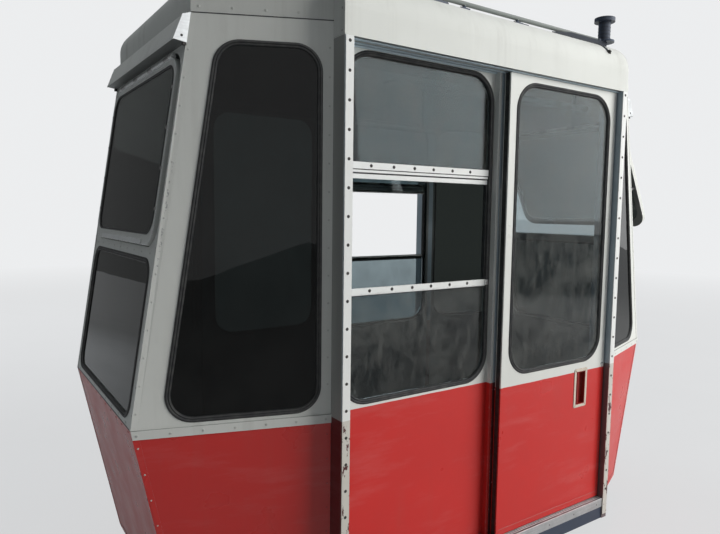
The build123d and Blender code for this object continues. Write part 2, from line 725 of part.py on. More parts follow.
def hanger_arm():
    """The hanger: a boss on the pin beside the rope, a box arm that comes back under the rope."""
    foot = ROOF_TOP + BASE_H
    y = HANGER_SIDE + BOSS_W / 2
    path = FilletPolyline((0, y, HANGER_PIN_RISE), (0, y, -ARM_STRAIGHT), (0, 0, -ARM_BACK), (0, 0, foot),
                          radius=ARM_BEND)
    plane = Plane(origin=path @ 0, x_dir=(1, 0, 0), z_dir=path % 0)
    section = Rectangle(2 * ARM_HALF_X, 2 * ARM_HALF_Y)
    arm = sweep(plane * section, path=path)
    boss = rod((0, HANGER_SIDE, HANGER_PIN_RISE), (0, HANGER_SIDE + BOSS_W, HANGER_PIN_RISE), BOSS_R)
    arm = arm + boss
    arm += box(-HEAD_HALF, HEAD_HALF, -CHEEK_Y, CHEEK_Y, foot, foot + FOOT_T)
    root = ARM_HALF_X * 0.9
    for s in (-1, 1):
        gusset = outline([(s * root, foot + FOOT_T), (s * HEAD_HALF, foot + FOOT_T),
                          (s * root, foot + FOOT_T + GUSSET_H)])
        arm += extrude(Plane.XZ * gusset, GUSSET_T / 2, both=True)
    bore = rod((0, HANGER_SIDE - 5, HANGER_PIN_RISE), (0, HANGER_SIDE + BOSS_W + 5, HANGER_PIN_RISE),
               HANGER_PIN_R)
    return arm - bore


def beam_half():
    """Half width over the carriage beam's two side plates."""
    return SHEAVE_W / 2 + SIDE_GAP + PLATE_T + SIDE_GAP + PLATE_T


PIN_HEAD_R = HANGER_PIN_R + 16
PIN_HEAD_T = 14.0
PIN_NUT_T = 12.0


def hanger_pin():
    """The pin that carries the hanger, with a head on the far side of the beam."""
    y0 = -beam_half() - 1
    y1 = HANGER_SIDE + BOSS_W
    z = HANGER_PIN_RISE
    pin = rod((0, y0 - PIN_HEAD_T, z), (0, y1 + PIN_NUT_T, z), HANGER_PIN_R)
    pin += rod((0, y0 - PIN_HEAD_T, z), (0, y0, z), PIN_HEAD_R)
    return pin + rod((0, y1, z), (0, y1 + PIN_NUT_T, z), PIN_HEAD_R)


# Carriage
AXLE_Z = ROPE_R + SHEAVE_R
ROCKER_Z = AXLE_Z + ROCKER_PIN_RISE
BEAM_END = 60.0            # side plates beyond the rocker pins
BEAM_UNDER = 45.0          # and under them
BEAM_SHOULDER = 50.0       # height of the plates' ends over the pins
BEAM_TOP = 110.0
BEAM_SLOPE_IN = 40.0       # the slope from end to top ends this far inside the pins
BEAM_R = 18.0
BEARING_HALF = 80.0        # the plates reach down round the hanger's bearing
BEARING_UNDER = 62.0
BEARING_WALL = 18.0
SPACER_X = 110.0           # spacers each side of the middle
SPACER_R = 14.0
SPACER_UNDER = 25.0        # in from the plates' top edge
ROCKER_PIN_PROUD = 10.0


def carriage_beam():
    """Two side plates tied by spacers, with the hanger's bearing tube and the rocker pins."""
    half = beam_half()
    hx = ROCKER_SPACING / 2
    right = [(BEARING_HALF, HANGER_PIN_RISE - BEARING_UNDER), (hx - BEAM_END, ROCKER_Z - BEAM_UNDER),
             (hx + BEAM_END, ROCKER_Z - BEAM_UNDER), (hx + BEAM_END, ROCKER_Z + BEAM_SHOULDER),
             (hx - BEAM_SLOPE_IN, ROCKER_Z + BEAM_TOP)]
    side = outline(right + [(-x, z) for x, z in reversed(right)], BEAM_R)
    beam = None
    for s in (-1, 1):
        plane = Plane.XZ.offset(-s * (half - PLATE_T / 2))
        plate = extrude(plane * side, PLATE_T / 2, both=True)
        beam = plate if beam is None else beam + plate
    reach = half + ROCKER_PIN_PROUD
    for x in (-hx, hx):
        beam += rod((x, -reach, ROCKER_Z), (x, reach, ROCKER_Z), ROCKER_PIN_R)
    z = HANGER_PIN_RISE
    beam += rod((0, -half, z), (0, HANGER_SIDE - 2, z), HANGER_PIN_R + BEARING_WALL)
    spacer_z = ROCKER_Z + BEAM_TOP - SPACER_UNDER
    for x in (-SPACER_X, SPACER_X):
        beam += rod((x, -half + 1, spacer_z), (x, half - 1, spacer_z), SPACER_R)
    beam -= rod((0, -half - 5, z), (0, HANGER_SIDE + 5, z), HANGER_PIN_R + RUNNING_FIT)
    return beam


ROCKER_END = 45.0          # side plates beyond the sheave axles
ROCKER_UNDER = 38.0        # and under them
ROCKER_SHOULDER = 30.0     # height of the plates' ends over the axles
CROWN_HALF = 50.0          # half length of the flat over the rocker pin
CROWN_RISE = 45.0
ROCKER_R = 16.0
ROCKER_TUBE_WALL = 8.0


def rocker(sx):
    """A rocker: two side plates with the axles of its two sheaves, hung on its own pin."""
    xc = sx * ROCKER_SPACING / 2
    hs = SHEAVE_SPACING / 2
    inner = SHEAVE_W / 2 + SIDE_GAP
    end = hs + ROCKER_END
    side = outline([(xc - end, AXLE_Z - ROCKER_UNDER), (xc + end, AXLE_Z - ROCKER_UNDER),
                    (xc + end, AXLE_Z + ROCKER_SHOULDER), (xc + CROWN_HALF, ROCKER_Z + CROWN_RISE),
                    (xc - CROWN_HALF, ROCKER_Z + CROWN_RISE), (xc - end, AXLE_Z + ROCKER_SHOULDER)], ROCKER_R)
    body = None
    for s in (-1, 1):
        plane = Plane.XZ.offset(-s * (inner + PLATE_T / 2))
        plate = extrude(plane * side, PLATE_T / 2, both=True)
        body = plate if body is None else body + plate
    body += rod((xc, -inner - 1, ROCKER_Z), (xc, inner + 1, ROCKER_Z), ROCKER_PIN_R + ROCKER_TUBE_WALL)
    for x in (xc - hs, xc + hs):
        body += rod((x, -inner - PLATE_T, AXLE_Z), (x, inner + PLATE_T, AXLE_Z), AXLE_R)
    return body - rod((xc, -inner - 40, ROCKER_Z), (xc, inner + 40, ROCKER_Z), ROCKER_PIN_R + RUNNING_FIT)


HUB_R = 38.0
WEB_HALF = 7.0             # half thickness of the sheave's web
RIM_DEPTH = 20.0           # rim inside the groove's root
WEB_HOLES = 5
WEB_HOLE_R = 19.0
WEB_HOLE_OUT = 75.0        # their middles from the axle


def sheave(index):
    """A grooved sheave on its axle, turned from one profile."""
    x = -ROCKER_SPACING / 2 - SHEAVE_SPACING / 2
    x += (index % 2) * SHEAVE_SPACING + (index // 2) * ROCKER_SPACING
    hw = SHEAVE_W / 2
    rim = SHEAVE_R + SHEAVE_LIP
    bore = AXLE_R + RUNNING_FIT
    inside = SHEAVE_R - RIM_DEPTH
    with BuildPart() as part:
        with BuildSketch(Plane.XZ):
            with BuildLine():
                Polyline((bore, -hw), (HUB_R, -hw), (HUB_R, -WEB_HALF), (inside - 8, -WEB_HALF),
                         (inside, -hw), (rim, -hw), (rim, -hw + 5), (SHEAVE_R, -ROPE_R * 0.55))
                Polyline((SHEAVE_R, -ROPE_R * 0.55), (SHEAVE_R, ROPE_R * 0.55))
                Polyline((SHEAVE_R, ROPE_R * 0.55), (rim, hw - 5), (rim, hw), (inside, hw),
                         (inside - 8, WEB_HALF), (HUB_R, WEB_HALF), (HUB_R, hw), (bore, hw), (bore, -hw))
            make_face()
        revolve(axis=Axis.Z)
    wheel = part.part
    for k in range(WEB_HOLES):
        a = radians(360 * k / WEB_HOLES)
        wheel -= Pos(WEB_HOLE_OUT * cos(a), WEB_HOLE_OUT * sin(a), 0) * Cylinder(WEB_HOLE_R, SHEAVE_W + 8)
    return Pos(x, 0, AXLE_Z) * Rot(90, 0, 0) * wheel


SOCKET_OUT = 215.0         # bracket's end beyond the outer sheaves' axles
SOCKET_HALF = 40.0         # half height of the bracket round the rope
SOCKET_R = 34.0
SOCKET_L = 150.0
SOCKET_TAPER = 5.0
SOCKET_IN = 120.0          # the cone starts this far inside the bracket's end
ROPE_SEAT = 60.0           # and the rope's seat this far
BRACKET_IN = 20.0          # bracket's foot, out from the rocker pin
BRACKET_HALF = 30.0
BRACKET_T = 10.0


def haul_sockets():
    """Bracket and cone at each end of the beam for the haul ropes, beside the track rope."""
    half = beam_half()
    out = []
    for s in (-1, 1):
        x0 = s * (ROCKER_SPACING / 2 + BRACKET_IN)
        x1 = s * (ROCKER_SPACING / 2 + SHEAVE_SPACING / 2 + SOCKET_OUT)
        pts = [(x0, ROCKER_Z + BRACKET_HALF), (x0, ROCKER_Z - BRACKET_HALF),
               (x1 - s * 90, -HAUL_DROP - SOCKET_HALF), (x1, -HAUL_DROP - SOCKET_HALF),
               (x1, -HAUL_DROP + SOCKET_HALF), (x0 + s * 110, ROCKER_Z + BRACKET_HALF)]
        y = half + BRACKET_T / 2
        bracket = extrude(Plane.XZ.offset(-y) * outline(pts), BRACKET_T / 2, both=True)
        axis = Plane(origin=(x1 - s * SOCKET_IN, y, -HAUL_DROP), z_dir=(s, 0, 0))
        cone = extrude(axis * Circle(SOCKET_R), SOCKET_L, taper=SOCKET_TAPER)
        bore = Plane(origin=(x1 - s * ROPE_SEAT, y, -HAUL_DROP), z_dir=(s, 0, 0))
        bracket = bracket + cone
        bracket -= extrude(bore * Circle(HAUL_ROPE_R), 120)
        x = s * ROCKER_SPACING / 2
        bracket -= rod((x, half - 20, ROCKER_Z), (x, half + 20, ROCKER_Z), ROCKER_PIN_R)
        out.append(bracket)
    return out


# Inside
GRAB_IN = 60.0             # handrail's middle in from the fixed leaf's inner face
GRAB_DROP = 60.0           # and under the door head
GRAB_R = 14.0
GRAB_FROM_END = 60.0       # it ends this far inside the door section
GRAB_HANGER_R = 10.0
GRAB_HANGERS = (150.0 - HALF_L, 0.0, HALF_L - 150.0)


def grab_rails():
    """A handrail under the roof along each side, on three hangers from the ceiling."""
    y = -HALF_W + FIXED_D + LEAF_T + GRAB_IN
    z = HEAD - GRAB_DROP
    rail = rod((GRAB_FROM_END - HALF_L, y, z), (HALF_L - GRAB_FROM_END, y, z), GRAB_R)
    for x in GRAB_HANGERS:
        rail += rod((x, y, z), (x, y, ROOF_TOP - HEADER_LIP - ROOF_SKIN), GRAB_HANGER_R)
    return [rail, mirror(rail, about=Plane.XZ)]


def build():
    """Every node's name with its solids."""
    _, bay_gasket, bay_pane = bay_window()
    _, end_gasket, end_pane = end_window()
    frame, pane = hopper()
    _, fixed_gasket, fixed_panes = fixed_window()
    _, slide_gasket, slide_pane = sliding_window()
    nodes = {
        "floor_frame": floor_frame(),
        "floor_plate": floor_plate(),
        "portal_posts": portal_posts(),
        "centre_posts": centre_posts(),
        "door_headers": door_headers(),
        "roof_shell": roof_shell(),
        "end_visors": end_visors(),
        "bay_panels": mirrored(bay_panel()),
        "bay_aprons": mirrored(bay_apron()),
        "bay_gaskets": mirrored(bay_gasket),
        "bay_panes": mirrored(bay_pane),
        "waist_mouldings": mirrored(waist_moulding()),
        "end_panels": mirrored(end_panel(), y=False),
        "end_aprons": mirrored(end_apron(), y=False),
        "end_gaskets": mirrored(end_gasket, y=False) + mirrored(hopper_seal(), y=False),
        "end_panes": mirrored(end_pane, y=False),
        "hopper_hinges": mirrored(hinge_tube(), y=False),
        "hopper_rear": [frame],
        "hopper_front": [hopper_open(frame)],
        "hopper_panes": [pane, hopper_open(pane)],
        "fixed_leaf_right": [fixed_leaf()],
        "fixed_leaf_left": [turned(fixed_leaf())],
        "fixed_leaf_gaskets": [fixed_gasket, turned(fixed_gasket)],
        "fixed_leaf_panes": fixed_panes + [turned(p) for p in fixed_panes],
        "sash_bars": sash_bars() + [turned(b) for b in sash_bars()],
        "cover_strips": cover_strips(),
        "roof_rails": roof_rails(),
        "hanger_base": [hanger_base()],
        "hanger_arm": [hanger_arm()],
        "hanger_pin": [hanger_pin()],
        "carriage_beam": [carriage_beam()],
        "haul_sockets": haul_sockets(),
        "rocker_rear": [rocker(-1)],
        "rocker_front": [rocker(1)],
        "grab_rails": grab_rails(),
    }
    for name, place in (("right", lambda s: s), ("left", turned)):
        nodes["sliding_leaf_" + name] = [place(sliding_leaf())]
        nodes["sliding_gasket_" + name] = [place(slide_gasket)]
        nodes["sliding_pane_" + name] = [place(slide_pane)]
        nodes["door_pull_" + name] = [place(door_pull())]
        nodes["door_hangers_" + name] = [place(h) for h in door_hangers()]
    for index in range(4):
        nodes[f"sheave_{index + 1}"] = [sheave(index)]
    for name, sx, sy in (("rear_right", -1, -1), ("front_right", 1, -1),
                         ("rear_left", -1, 1), ("front_left", 1, 1)):
        nodes["guide_roller_" + name] = [guide_roller(sx, sy)]
    return nodes


def write(nodes):
    """One STEP file for each node."""
    os.makedirs("parts", exist_ok=True)
    for name, solids in nodes.items():
        shape = solids[0] if len(solids) == 1 else Compound(children=[s for s in solids])
        export_step(shape, f"parts/{name}.step")


write(build())
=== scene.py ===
from itertools import product
from math import atan2, cos, pi, radians, sin, tan
from random import Random

import bmesh
import bpy
from bpy.props import FloatProperty, FloatVectorProperty, PointerProperty
from mathutils import Matrix, Vector


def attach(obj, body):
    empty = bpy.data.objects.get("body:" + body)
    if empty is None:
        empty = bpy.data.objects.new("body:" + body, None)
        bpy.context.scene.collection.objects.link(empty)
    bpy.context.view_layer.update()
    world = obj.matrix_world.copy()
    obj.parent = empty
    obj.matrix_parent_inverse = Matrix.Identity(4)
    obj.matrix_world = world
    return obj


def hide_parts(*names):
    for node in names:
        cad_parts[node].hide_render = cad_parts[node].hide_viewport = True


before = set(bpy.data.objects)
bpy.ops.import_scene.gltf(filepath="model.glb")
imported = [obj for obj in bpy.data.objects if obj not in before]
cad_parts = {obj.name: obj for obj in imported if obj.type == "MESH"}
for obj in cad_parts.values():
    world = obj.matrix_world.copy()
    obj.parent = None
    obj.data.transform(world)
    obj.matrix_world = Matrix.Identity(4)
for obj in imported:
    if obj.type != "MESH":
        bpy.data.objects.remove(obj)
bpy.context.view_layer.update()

bl_info = {
    "name": "Ropeway cabin",
    "version": (1, 0, 0),
    "blender": (4, 5, 0),
    "location": "3D View > Sidebar > Ropeway Cabin",
    "description": "Finishes, rubbers, rivets and fittings of an aerial ropeway cabin with its carriage",
    "category": "Object",
}

# The cabin's own sizes in millimetres, as in its frame. The right side is -Y, the rear end is -X.
# Half the length of the door section, half the width at the doors, half the width where the bays begin
HALF_L, HALF_W, BAY_Y = 770.0, 726.0, 659.0
HEAD, EAVES, WAIST, FLOOR, SKIRT, ROOF_TOP = -2570.0, -2513.0, -3827.0, -4500.0, -4600.0, -2350.0
# How far the ends reach at three heights, and half the width of an end
EAVES_X, WAIST_X, SKIRT_X, END_HALF = 1179.0, 1389.0, 1227.0, 467.0
UPPER_LEAN = atan2(WAIST_X - EAVES_X, EAVES - WAIST)
LOWER_LEAN = atan2(WAIST_X - SKIRT_X, WAIST - SKIRT)
# Thickness of a leaf, and how deep the faces of both kinds of leaf lie behind the door plane
LEAF_T, SLIDING_D, FIXED_D = 30.0, 27.0, 87.0
POST_W, CENTRE_POST_W, SLIDING_W, CLEARANCE = 34.0, 46.0, 705.0, 5.0
FIXED_X0 = -HALF_L + POST_W
SLIDING_X1 = HALF_L - POST_W - CLEARANCE
SLIDING_X0 = SLIDING_X1 - SLIDING_W
FIXED_X1 = SLIDING_X0 - CENTRE_POST_W / 4
ROOF_FLAT = ROOF_TOP - 5
CEILING = ROOF_FLAT - 24
RAIL_Y, RAIL_Z, ROLLER_X = HALF_W - 118, ROOF_TOP + 24, 745.0
# Centre of the header's round shoulder
SHOULDER_Y, SHOULDER_Z = 596.0, HEAD + 90
CHANNEL_X, CHANNEL_TOP, CHEEK_Y = 300.0, ROOF_TOP + 55, 110.0
FOOT_TOP, HEAD_LOW = ROOF_TOP + 418, ROOF_TOP + 384
PIN_Z, AXLE_Z, ROCKER_Z, ROCKER_X, AXLE_X = 90.0, 155.0, 245.0, 400.0, (-575.0, -225.0, 225.0, 575.0)
# Corner radii of the windows, and radii of the sheaves' rim bolts, hub screws and grooves
BAY_ROUND, END_ROUND, DOOR_ROUND = 88.0, 62.0, 115.0
RIM_BOLTS, HUB_SCREWS, GROOVE = 103, 30, 140
GRAB_RAIL_Y, CHANNEL_END_Y = 549, 488
STRIP_PITCH = 93.4
SASH_RIVETS = (172, 272, 368, 460, 556, 650)
# Sections as (inwards, outwards). Window rubber: lip over the panel, key strip, and the lips on the pane
RUBBER = [(-2.5, 0.1), (-2.5, 0.9), (-1.2, 2.4), (0.8, 3.4), (3.4, 3.8), (5.6, 3.4), (6.6, 2.4), (7.1, 1.2),
          (7.9, 1.0), (8.6, 1.9), (9.8, 2.9), (11.6, 3.0), (13.4, 2.2), (15.2, -0.4), (16.0, -3.6),
          (15.6, -4.1), (15.6, -8.9), (16.0, -9.6), (14.6, -12.0), (11.5, -14.0), (6.0, -14.6), (1.5, -13.6),
          (0.2, -11.5), (0.2, -0.4)]
PULL_FLANGE = [(0, -0.3), (0, 1.4), (1.2, 2.4), (13.5, 2.4), (15.4, 1.0), (15.8, -12), (14.6, -12),
               (12.5, -0.3)]
HOPPER_RUBBER = [(-5.5, 6.8), (-5.5, 8.4), (-4, 9.6), (-1.0, 9.6), (0.6, 8.2), (1.4, 5.6), (0.4, 4.8),
                 (-1.5, 6.4)]
HOPPER_CHANNEL = [(0.2, 3.0), (0.2, 8.6), (1.4, 9.4), (3.2, 9.4), (4.4, 8.4), (4.6, 6.6), (3.0, 6.6)]


# Places on the cabin
def plane(origin, x, y):
    """Local x and y on a face and z out of it, as a matrix in millimetres."""
    x, y = Vector(x).normalized(), Vector(y).normalized()
    m = Matrix((x, y, x.cross(y))).transposed().to_4x4()
    m.translation = Vector(origin)
    return m


MIRROR_X, MIRROR_Y = Matrix.Scale(-1, 4, (1, 0, 0)), Matrix.Scale(-1, 4, (0, 1, 0))
HALF_TURN = Matrix.Rotation(pi, 4, "Z")
ALL_FOUR = (Matrix(), MIRROR_X, MIRROR_Y, MIRROR_X @ MIRROR_Y)
BOTH_ENDS = (Matrix(), MIRROR_X)
TURNED = (Matrix(), HALF_TURN)
DOORS = (("right", Matrix()), ("left", HALF_TURN))
END = plane((-WAIST_X, 0, WAIST), (0, -1, 0), (sin(UPPER_LEAN), 0, cos(UPPER_LEAN)))
APRON = plane((-WAIST_X, 0, WAIST), (0, -1, 0), (-sin(LOWER_LEAN), 0, cos(LOWER_LEAN)))


def upright(y):
    """A plane along the cabin that faces the right side: x is X and y is Z."""
    return plane((0, y, 0), (1, 0, 0), (0, 0, 1))


def door_plane(depth):
    """The right side at a depth from the door plane."""
    return upright(depth - HALF_W)


def facing(x, y, z, way="up"):
    """A place whose z points up, down, or out of the side that it is on."""
    if way == "side":
        return plane((x, y, z), (1 if y < 0 else -1, 0, 0), (0, 0, 1))
    return plane((x, y, z), (1, 0, 0), (0, 1 if way == "up" else -1, 0))


def end_reach(z):
    """How far the ends' faces stand from the middle at a height."""
    if z >= WAIST:
        return WAIST_X + (EAVES_X - WAIST_X) * (z - WAIST) / (EAVES - WAIST)
    return WAIST_X + (SKIRT_X - WAIST_X) * (z - WAIST) / (SKIRT - WAIST)


def bay_turn(z):
    """How far a bay is turned in from the side at a height."""
    return atan2(BAY_Y - END_HALF, end_reach(z) - HALF_L)


BAY_MID = (bay_turn(EAVES) + bay_turn(WAIST)) / 2


class Twist:
    """The rear right bay's twisted face, used like a plane: x towards the door, y is Z, z out of it."""

    def __matmul__(self, v):
        turn = bay_turn(v[1])
        run = (-v[0] - v[2] * sin(turn - BAY_MID)) / cos(turn - BAY_MID)
        return Vector((-HALF_L - run * cos(turn) - v[2] * sin(turn),
                       -BAY_Y + run * sin(turn) - v[2] * cos(turn), v[1]))

    def frame(self, x, y, z):
        """A plane on the face at one point."""
        o = self @ (x, y, z)
        return plane(o, (self @ (x + 1, y, z)) - o, (self @ (x, y + 1, z)) - o)


BAY = Twist()


def at(place, x, y, z=0.0, turn=0.0):
    """A place on a plane, or on the bay's face."""
    moved = BAY.frame(x, y, z) if place is BAY else place @ Matrix.Translation((x, y, z))
    return moved @ Matrix.Rotation(turn, 4, "Z")


def around(place, radius, angles, z=0.0, turned=False):
    """Places on a circle about a place, each turned by its angle or all alike."""
    return [at(place, radius * cos(a), radius * sin(a), z, a if turned else 0.0) for a in angles]


def evenly(first, pitch, count):
    return [first + pitch * k for k in range(count)]


def bay_far(z, from_corner):
    """Place along the bay's plane of a line that far from the corner at the end."""
    run = (BAY_Y - END_HALF) / sin(bay_turn(z))
    return -(run - from_corner) * cos(bay_turn(z) - BAY_MID)


def end_up(z):
    """Distance up the leaning end face, from the waist, of a height."""
    return (z - WAIST) / cos(UPPER_LEAN)


def apron_up(z):
    """Distance up the end's apron, from the waist, of a height."""
    return (z - WAIST) / cos(LOWER_LEAN)


# Outlines
def sense(points):
    """1 for an outline that goes anticlockwise, otherwise -1."""
    area = sum(points[i - 1][0] * points[i][1] - points[i][0] * points[i - 1][1] for i in range(len(points)))
    return 1 if area > 0 else -1


def corners(points):
    """Every point of a closed outline, between the one before it and the one after."""
    n = len(points)
    for i in range(n):
        yield [Vector(points[(i + k) % n]) for k in (-1, 0, 1)]


def rectangle(x0, x1, y0, y1):
    return [(x0, y0), (x1, y0), (x1, y1), (x0, y1)]


def circle(radius, n):
    return [(radius * cos(2 * pi * k / n), radius * sin(2 * pi * k / n)) for k in range(n)]


def inset(points, distance):
    """A closed outline moved inwards with mitred corners."""
    out, d = [], distance * sense(points)
    for a, b, c in corners(points):
        u, v = (b - a).normalized(), (c - b).normalized()
        m = Vector((-(u.y + v.y), u.x + v.x))
        m = m / max(0.2, m.length_squared / 2)
        out.append((b.x + m.x * d, b.y + m.y * d))
    return out


def rounded(points, radius, steps=10):
    """The outline with every corner turned into an arc."""
    out = []
    for a, b, c in corners(points):
        u, v = (a - b).normalized(), (c - b).normalized()
        half = u.angle(v) / 2
        centre = b + (u + v).normalized() * radius / sin(half)
        p, q = b + u * radius / tan(half) - centre, b + v * radius / tan(half) - centre
        sweep = p.angle(q) * (1 if p.x * q.y - p.y * q.x > 0 else -1)
        start = atan2(p.y, p.x)
        for k in range(steps + 1):
            t = start + sweep * k / steps
            out.append((centre.x + radius * cos(t), centre.y + radius * sin(t)))
    return out


def end_rect(side, top, low):
    """A rectangle on the end face: in from the corners, between two drops below the door head."""
    half = END_HALF - side
    return rectangle(-half, half, end_up(HEAD - top), end_up(HEAD - low))


def bent(points, radius, steps=6):
    """Points of a line with its inner corners rounded."""
    points = [Vector(p) for p in points]
    out = points[:1]
    for a, b, c in zip(points, points[1:], points[2:]):
        u, v = (a - b).normalized(), (c - b).normalized()
        r = min(radius, (a - b).length / 2.05, (c - b).length / 2.05)
        for k in range(steps + 1):
            f = k / steps
            out.append(b + u * r * (1 - f) ** 2 + v * r * f ** 2)
    return out + points[-1:]


# Geometry
class Stock:
    """The geometry of one piece, gathered in millimetres."""

    def __init__(self):
        self.bm = bmesh.new()

    def loft(self, rings, closed=False):
        """A skin through rings of points that match one another, capped unless it is closed."""
        rows = [[self.bm.verts.new(Vector(p)) for p in ring] for ring in rings]
        n = len(rows[0])
        for i in range(len(rows) if closed else len(rows) - 1):
            a, b = rows[i], rows[(i + 1) % len(rows)]
            for j in range(n):
                k = (j + 1) % n
                self.bm.faces.new((a[j], a[k], b[k], b[j]))
        if not closed:
            self.bm.faces.new(rows[0][::-1])
            self.bm.faces.new(rows[-1])
        return self

    def prism(self, points, place, z0, z1, chamfer=0.0):
        """An outline on a plane, thickened from z0 to z1, its edges chamfered."""
        points = points[::sense(points)]
        c = min(chamfer, (z1 - z0) / 2.1)
        levels = [(z0, c), (z0 + c, 0), (z1 - c, 0), (z1, c)] if c else [(z0, 0), (z1, 0)]
        return self.loft([[place @ Vector((x, y, z)) for x, y in (inset(points, d) if d else points)]
                          for z, d in levels])

    def block(self, x0, x1, y0, y1, z0, z1, chamfer=1.0, place=Matrix()):
        """A block between six limits."""
        return self.prism(rectangle(x0, x1, y0, y1), place, z0, z1, chamfer)

    def blocks(self, place, *rows):
        """Blocks on one plane, each from its six limits and its chamfer."""
        for row in rows:
            self.block(*row, place)
        return self

    def lathe(self, profile, place, n=24):
        """A profile of (radius, height) points turned about the local z axis."""
        rings = [(circle(max(r, 0.01), n), h) for r, h in profile]
        return self.loft([[place @ Vector((x, y, h)) for x, y in ring] for ring, h in rings])

    def tube(self, path, radius=0.0, n=12, closed=False, section=None):
        """A round bar along a line of points, or a bar of the given section."""
        points = [Vector(p) for p in path]
        last = len(points) - 1
        rings, side = [], None
        for i, p in enumerate(points):
            a = points[i - 1] if i or closed else p
            b = points[(i + 1) % len(points)] if i < last or closed else p
            t = (b - a).normalized()
            if side is None:
                side = (t.orthogonal() if abs(t.z) > 0.9 else t.cross(Vector((0, 0, 1)))).normalized()
            side = (side - t * side.dot(t)).normalized()
            up = side.cross(t)
            rings.append([p + side * x + up * y for x, y in section or circle(radius, n)])
        return self.loft(rings, closed)

    def band(self, outline, place, section):
        """A section of (inwards, outwards) points run round a closed outline on a plane."""
        sign, rings = sense(outline), []
        for a, here, b in corners(outline):
            t = (b - a).normalized()
            side = Vector((-t.y, t.x)) * sign
            rings.append([place @ Vector((here.x + side.x * w, here.y + side.y * w, h)) for w, h in section])
        return self.loft(rings, closed=True)

    def rivets(self, places, radius, height):
        """Blind rivets: low heads with the hole of the drawn pin, z out of the face."""
        profile = [(radius, -0.6), (radius, 0.3), (radius * 0.93, height * 0.55),
                   (radius * 0.72, height * 0.9), (radius * 0.5, height), (radius * 0.36, height * 0.96),
                   (radius * 0.3, height * 0.3), (0, height * 0.25)]
        for place in places:
            self.lathe(profile, place, 12)
        return self

    def screws(self, places, radius, height):
        """Round-headed screws with a line for the slot."""
        profile = [(radius, -0.6), (radius, 0.2), (radius * 0.85, height * 0.7), (radius * 0.45, height),
                   (0, height)]
        w = radius * 0.75
        for place in places:
            self.lathe(profile, place, 14)
            self.block(-w, w, -0.45, 0.45, height - 0.5, height + 0.08, 0, place)
        return self

    def bolts(self, places, across, height, washer=True):
        """Hexagon heads with or without a washer, z out of the face."""
        r = across / 2 / cos(pi / 6)
        base = 1.5 if washer else -0.5
        top = base + height
        for place in places:
            if washer:
                self.lathe([(r * 1.35, -0.5), (r * 1.35, 1.2), (r * 1.2, 1.6), (0, 1.6)], place, 20)
            self.lathe([(r, base), (r, top - height * 0.12), (r * 0.86, top)], place, 6)
        return self

    def nipple(self, place):
        """A grease nipple."""
        return self.lathe([(5, -0.5), (5, 3), (3, 4), (3, 7), (4, 8.5), (2.4, 11), (0, 11.4)], place, 14)

    def add(self, other, places):
        """Another stock's geometry, set at each place."""
        for m in places:
            extra = other.bm.copy()
            bmesh.ops.transform(extra, matrix=m, verts=extra.verts)
            mesh = bpy.data.meshes.new("copy")
            extra.to_mesh(mesh)
            self.bm.from_mesh(mesh)
            bpy.data.meshes.remove(mesh)
            extra.free()
        return self

    def piece(self, name, finish, places=None, body="cabin", slot=None, stands_for=(), sharp=32.0):
        """The object made from the geometry, set at each place if any are given, riding on its body."""
        bm = Stock().add(self, places).bm if places else self.bm
        bmesh.ops.recalc_face_normals(bm, faces=bm.faces)
        bmesh.ops.scale(bm, vec=(0.001, 0.001, 0.001), verts=bm.verts)
        for f in bm.faces:
            f.smooth = True
        for e in bm.edges:
            e.smooth = len(e.link_faces) == 2 and e.calc_face_angle(0) < radians(sharp)
        mesh = bpy.data.meshes.new(name)
        bm.to_mesh(mesh)
        bm.free()
        obj = bpy.data.objects.new(name, mesh)
        bpy.context.scene.collection.objects.link(obj)
        mesh.materials.append(finish_called(finish))
        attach(obj, body)
        if stands_for:
            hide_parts(*stands_for)
        return obj


# Finishes
def finish_called(name):
    """The material of that finish. The prefix keeps it apart from the frame's own materials."""
    return bpy.data.materials["cabin_" + name]


class Nodes:
    """A node tree that is put together step by step."""

    def __init__(self, owner):
        owner.use_nodes = True
        self.tree = owner.node_tree
        self.tree.nodes.clear()

    def node(self, kind, **settings):
        n = self.tree.nodes.new(kind)
        for k, v in settings.items():
            setattr(n, k, v)
        return n

    def link(self, a, b):
        self.tree.links.new(a, b)

    def put(self, value, socket):
        """Sets a socket from a number, a colour or another socket."""
        if isinstance(value, bpy.types.NodeSocket):
            self.link(value, socket)
        elif isinstance(value, (tuple, list)) and len(value) == 3 and socket.type == "RGBA":
            socket.default_value = (*value, 1)
        else:
            socket.default_value = value

    def band(self, value, low, high, to_low=0.0, to_high=1.0, smooth=False):
        """Value spread from low..high to to_low..to_high, held at both ends."""
        m = self.node("ShaderNodeMapRange", interpolation_type="SMOOTHSTEP" if smooth else "LINEAR")
        for k, v in (("Value", value), ("From Min", low), ("From Max", high), ("To Min", to_low),
                     ("To Max", to_high)):
            self.put(v, m.inputs[k])
        return m.outputs[0]

    def maths(self, operation, a, b=0.0):
        """A sum, product, difference or the larger of two, held to 0..1 but for a difference."""
        m = self.node("ShaderNodeMath", operation=operation, use_clamp=operation != "SUBTRACT")
        self.put(a, m.inputs[0])
        self.put(b, m.inputs[1])
        return m.outputs[0]

    def dot(self, a, b):
        m = self.node("ShaderNodeVectorMath", operation="DOT_PRODUCT")
        self.put(a, m.inputs[0])
        self.put(b, m.inputs[1])
        return m.outputs["Value"]

    def mix(self, fac, a, b):
        m = self.node("ShaderNodeMix", data_type="RGBA")
        self.put(fac, m.inputs["Factor"])
        self.put(a, m.inputs[6])
        self.put(b, m.inputs[7])
        return m.outputs[2]

    def blend(self, fac, a, b):
        """One shader laid over another."""
        m = self.node("ShaderNodeMixShader")
        for value, socket in zip((fac, a, b), m.inputs):
            self.put(value, socket)
        return m.outputs[0]


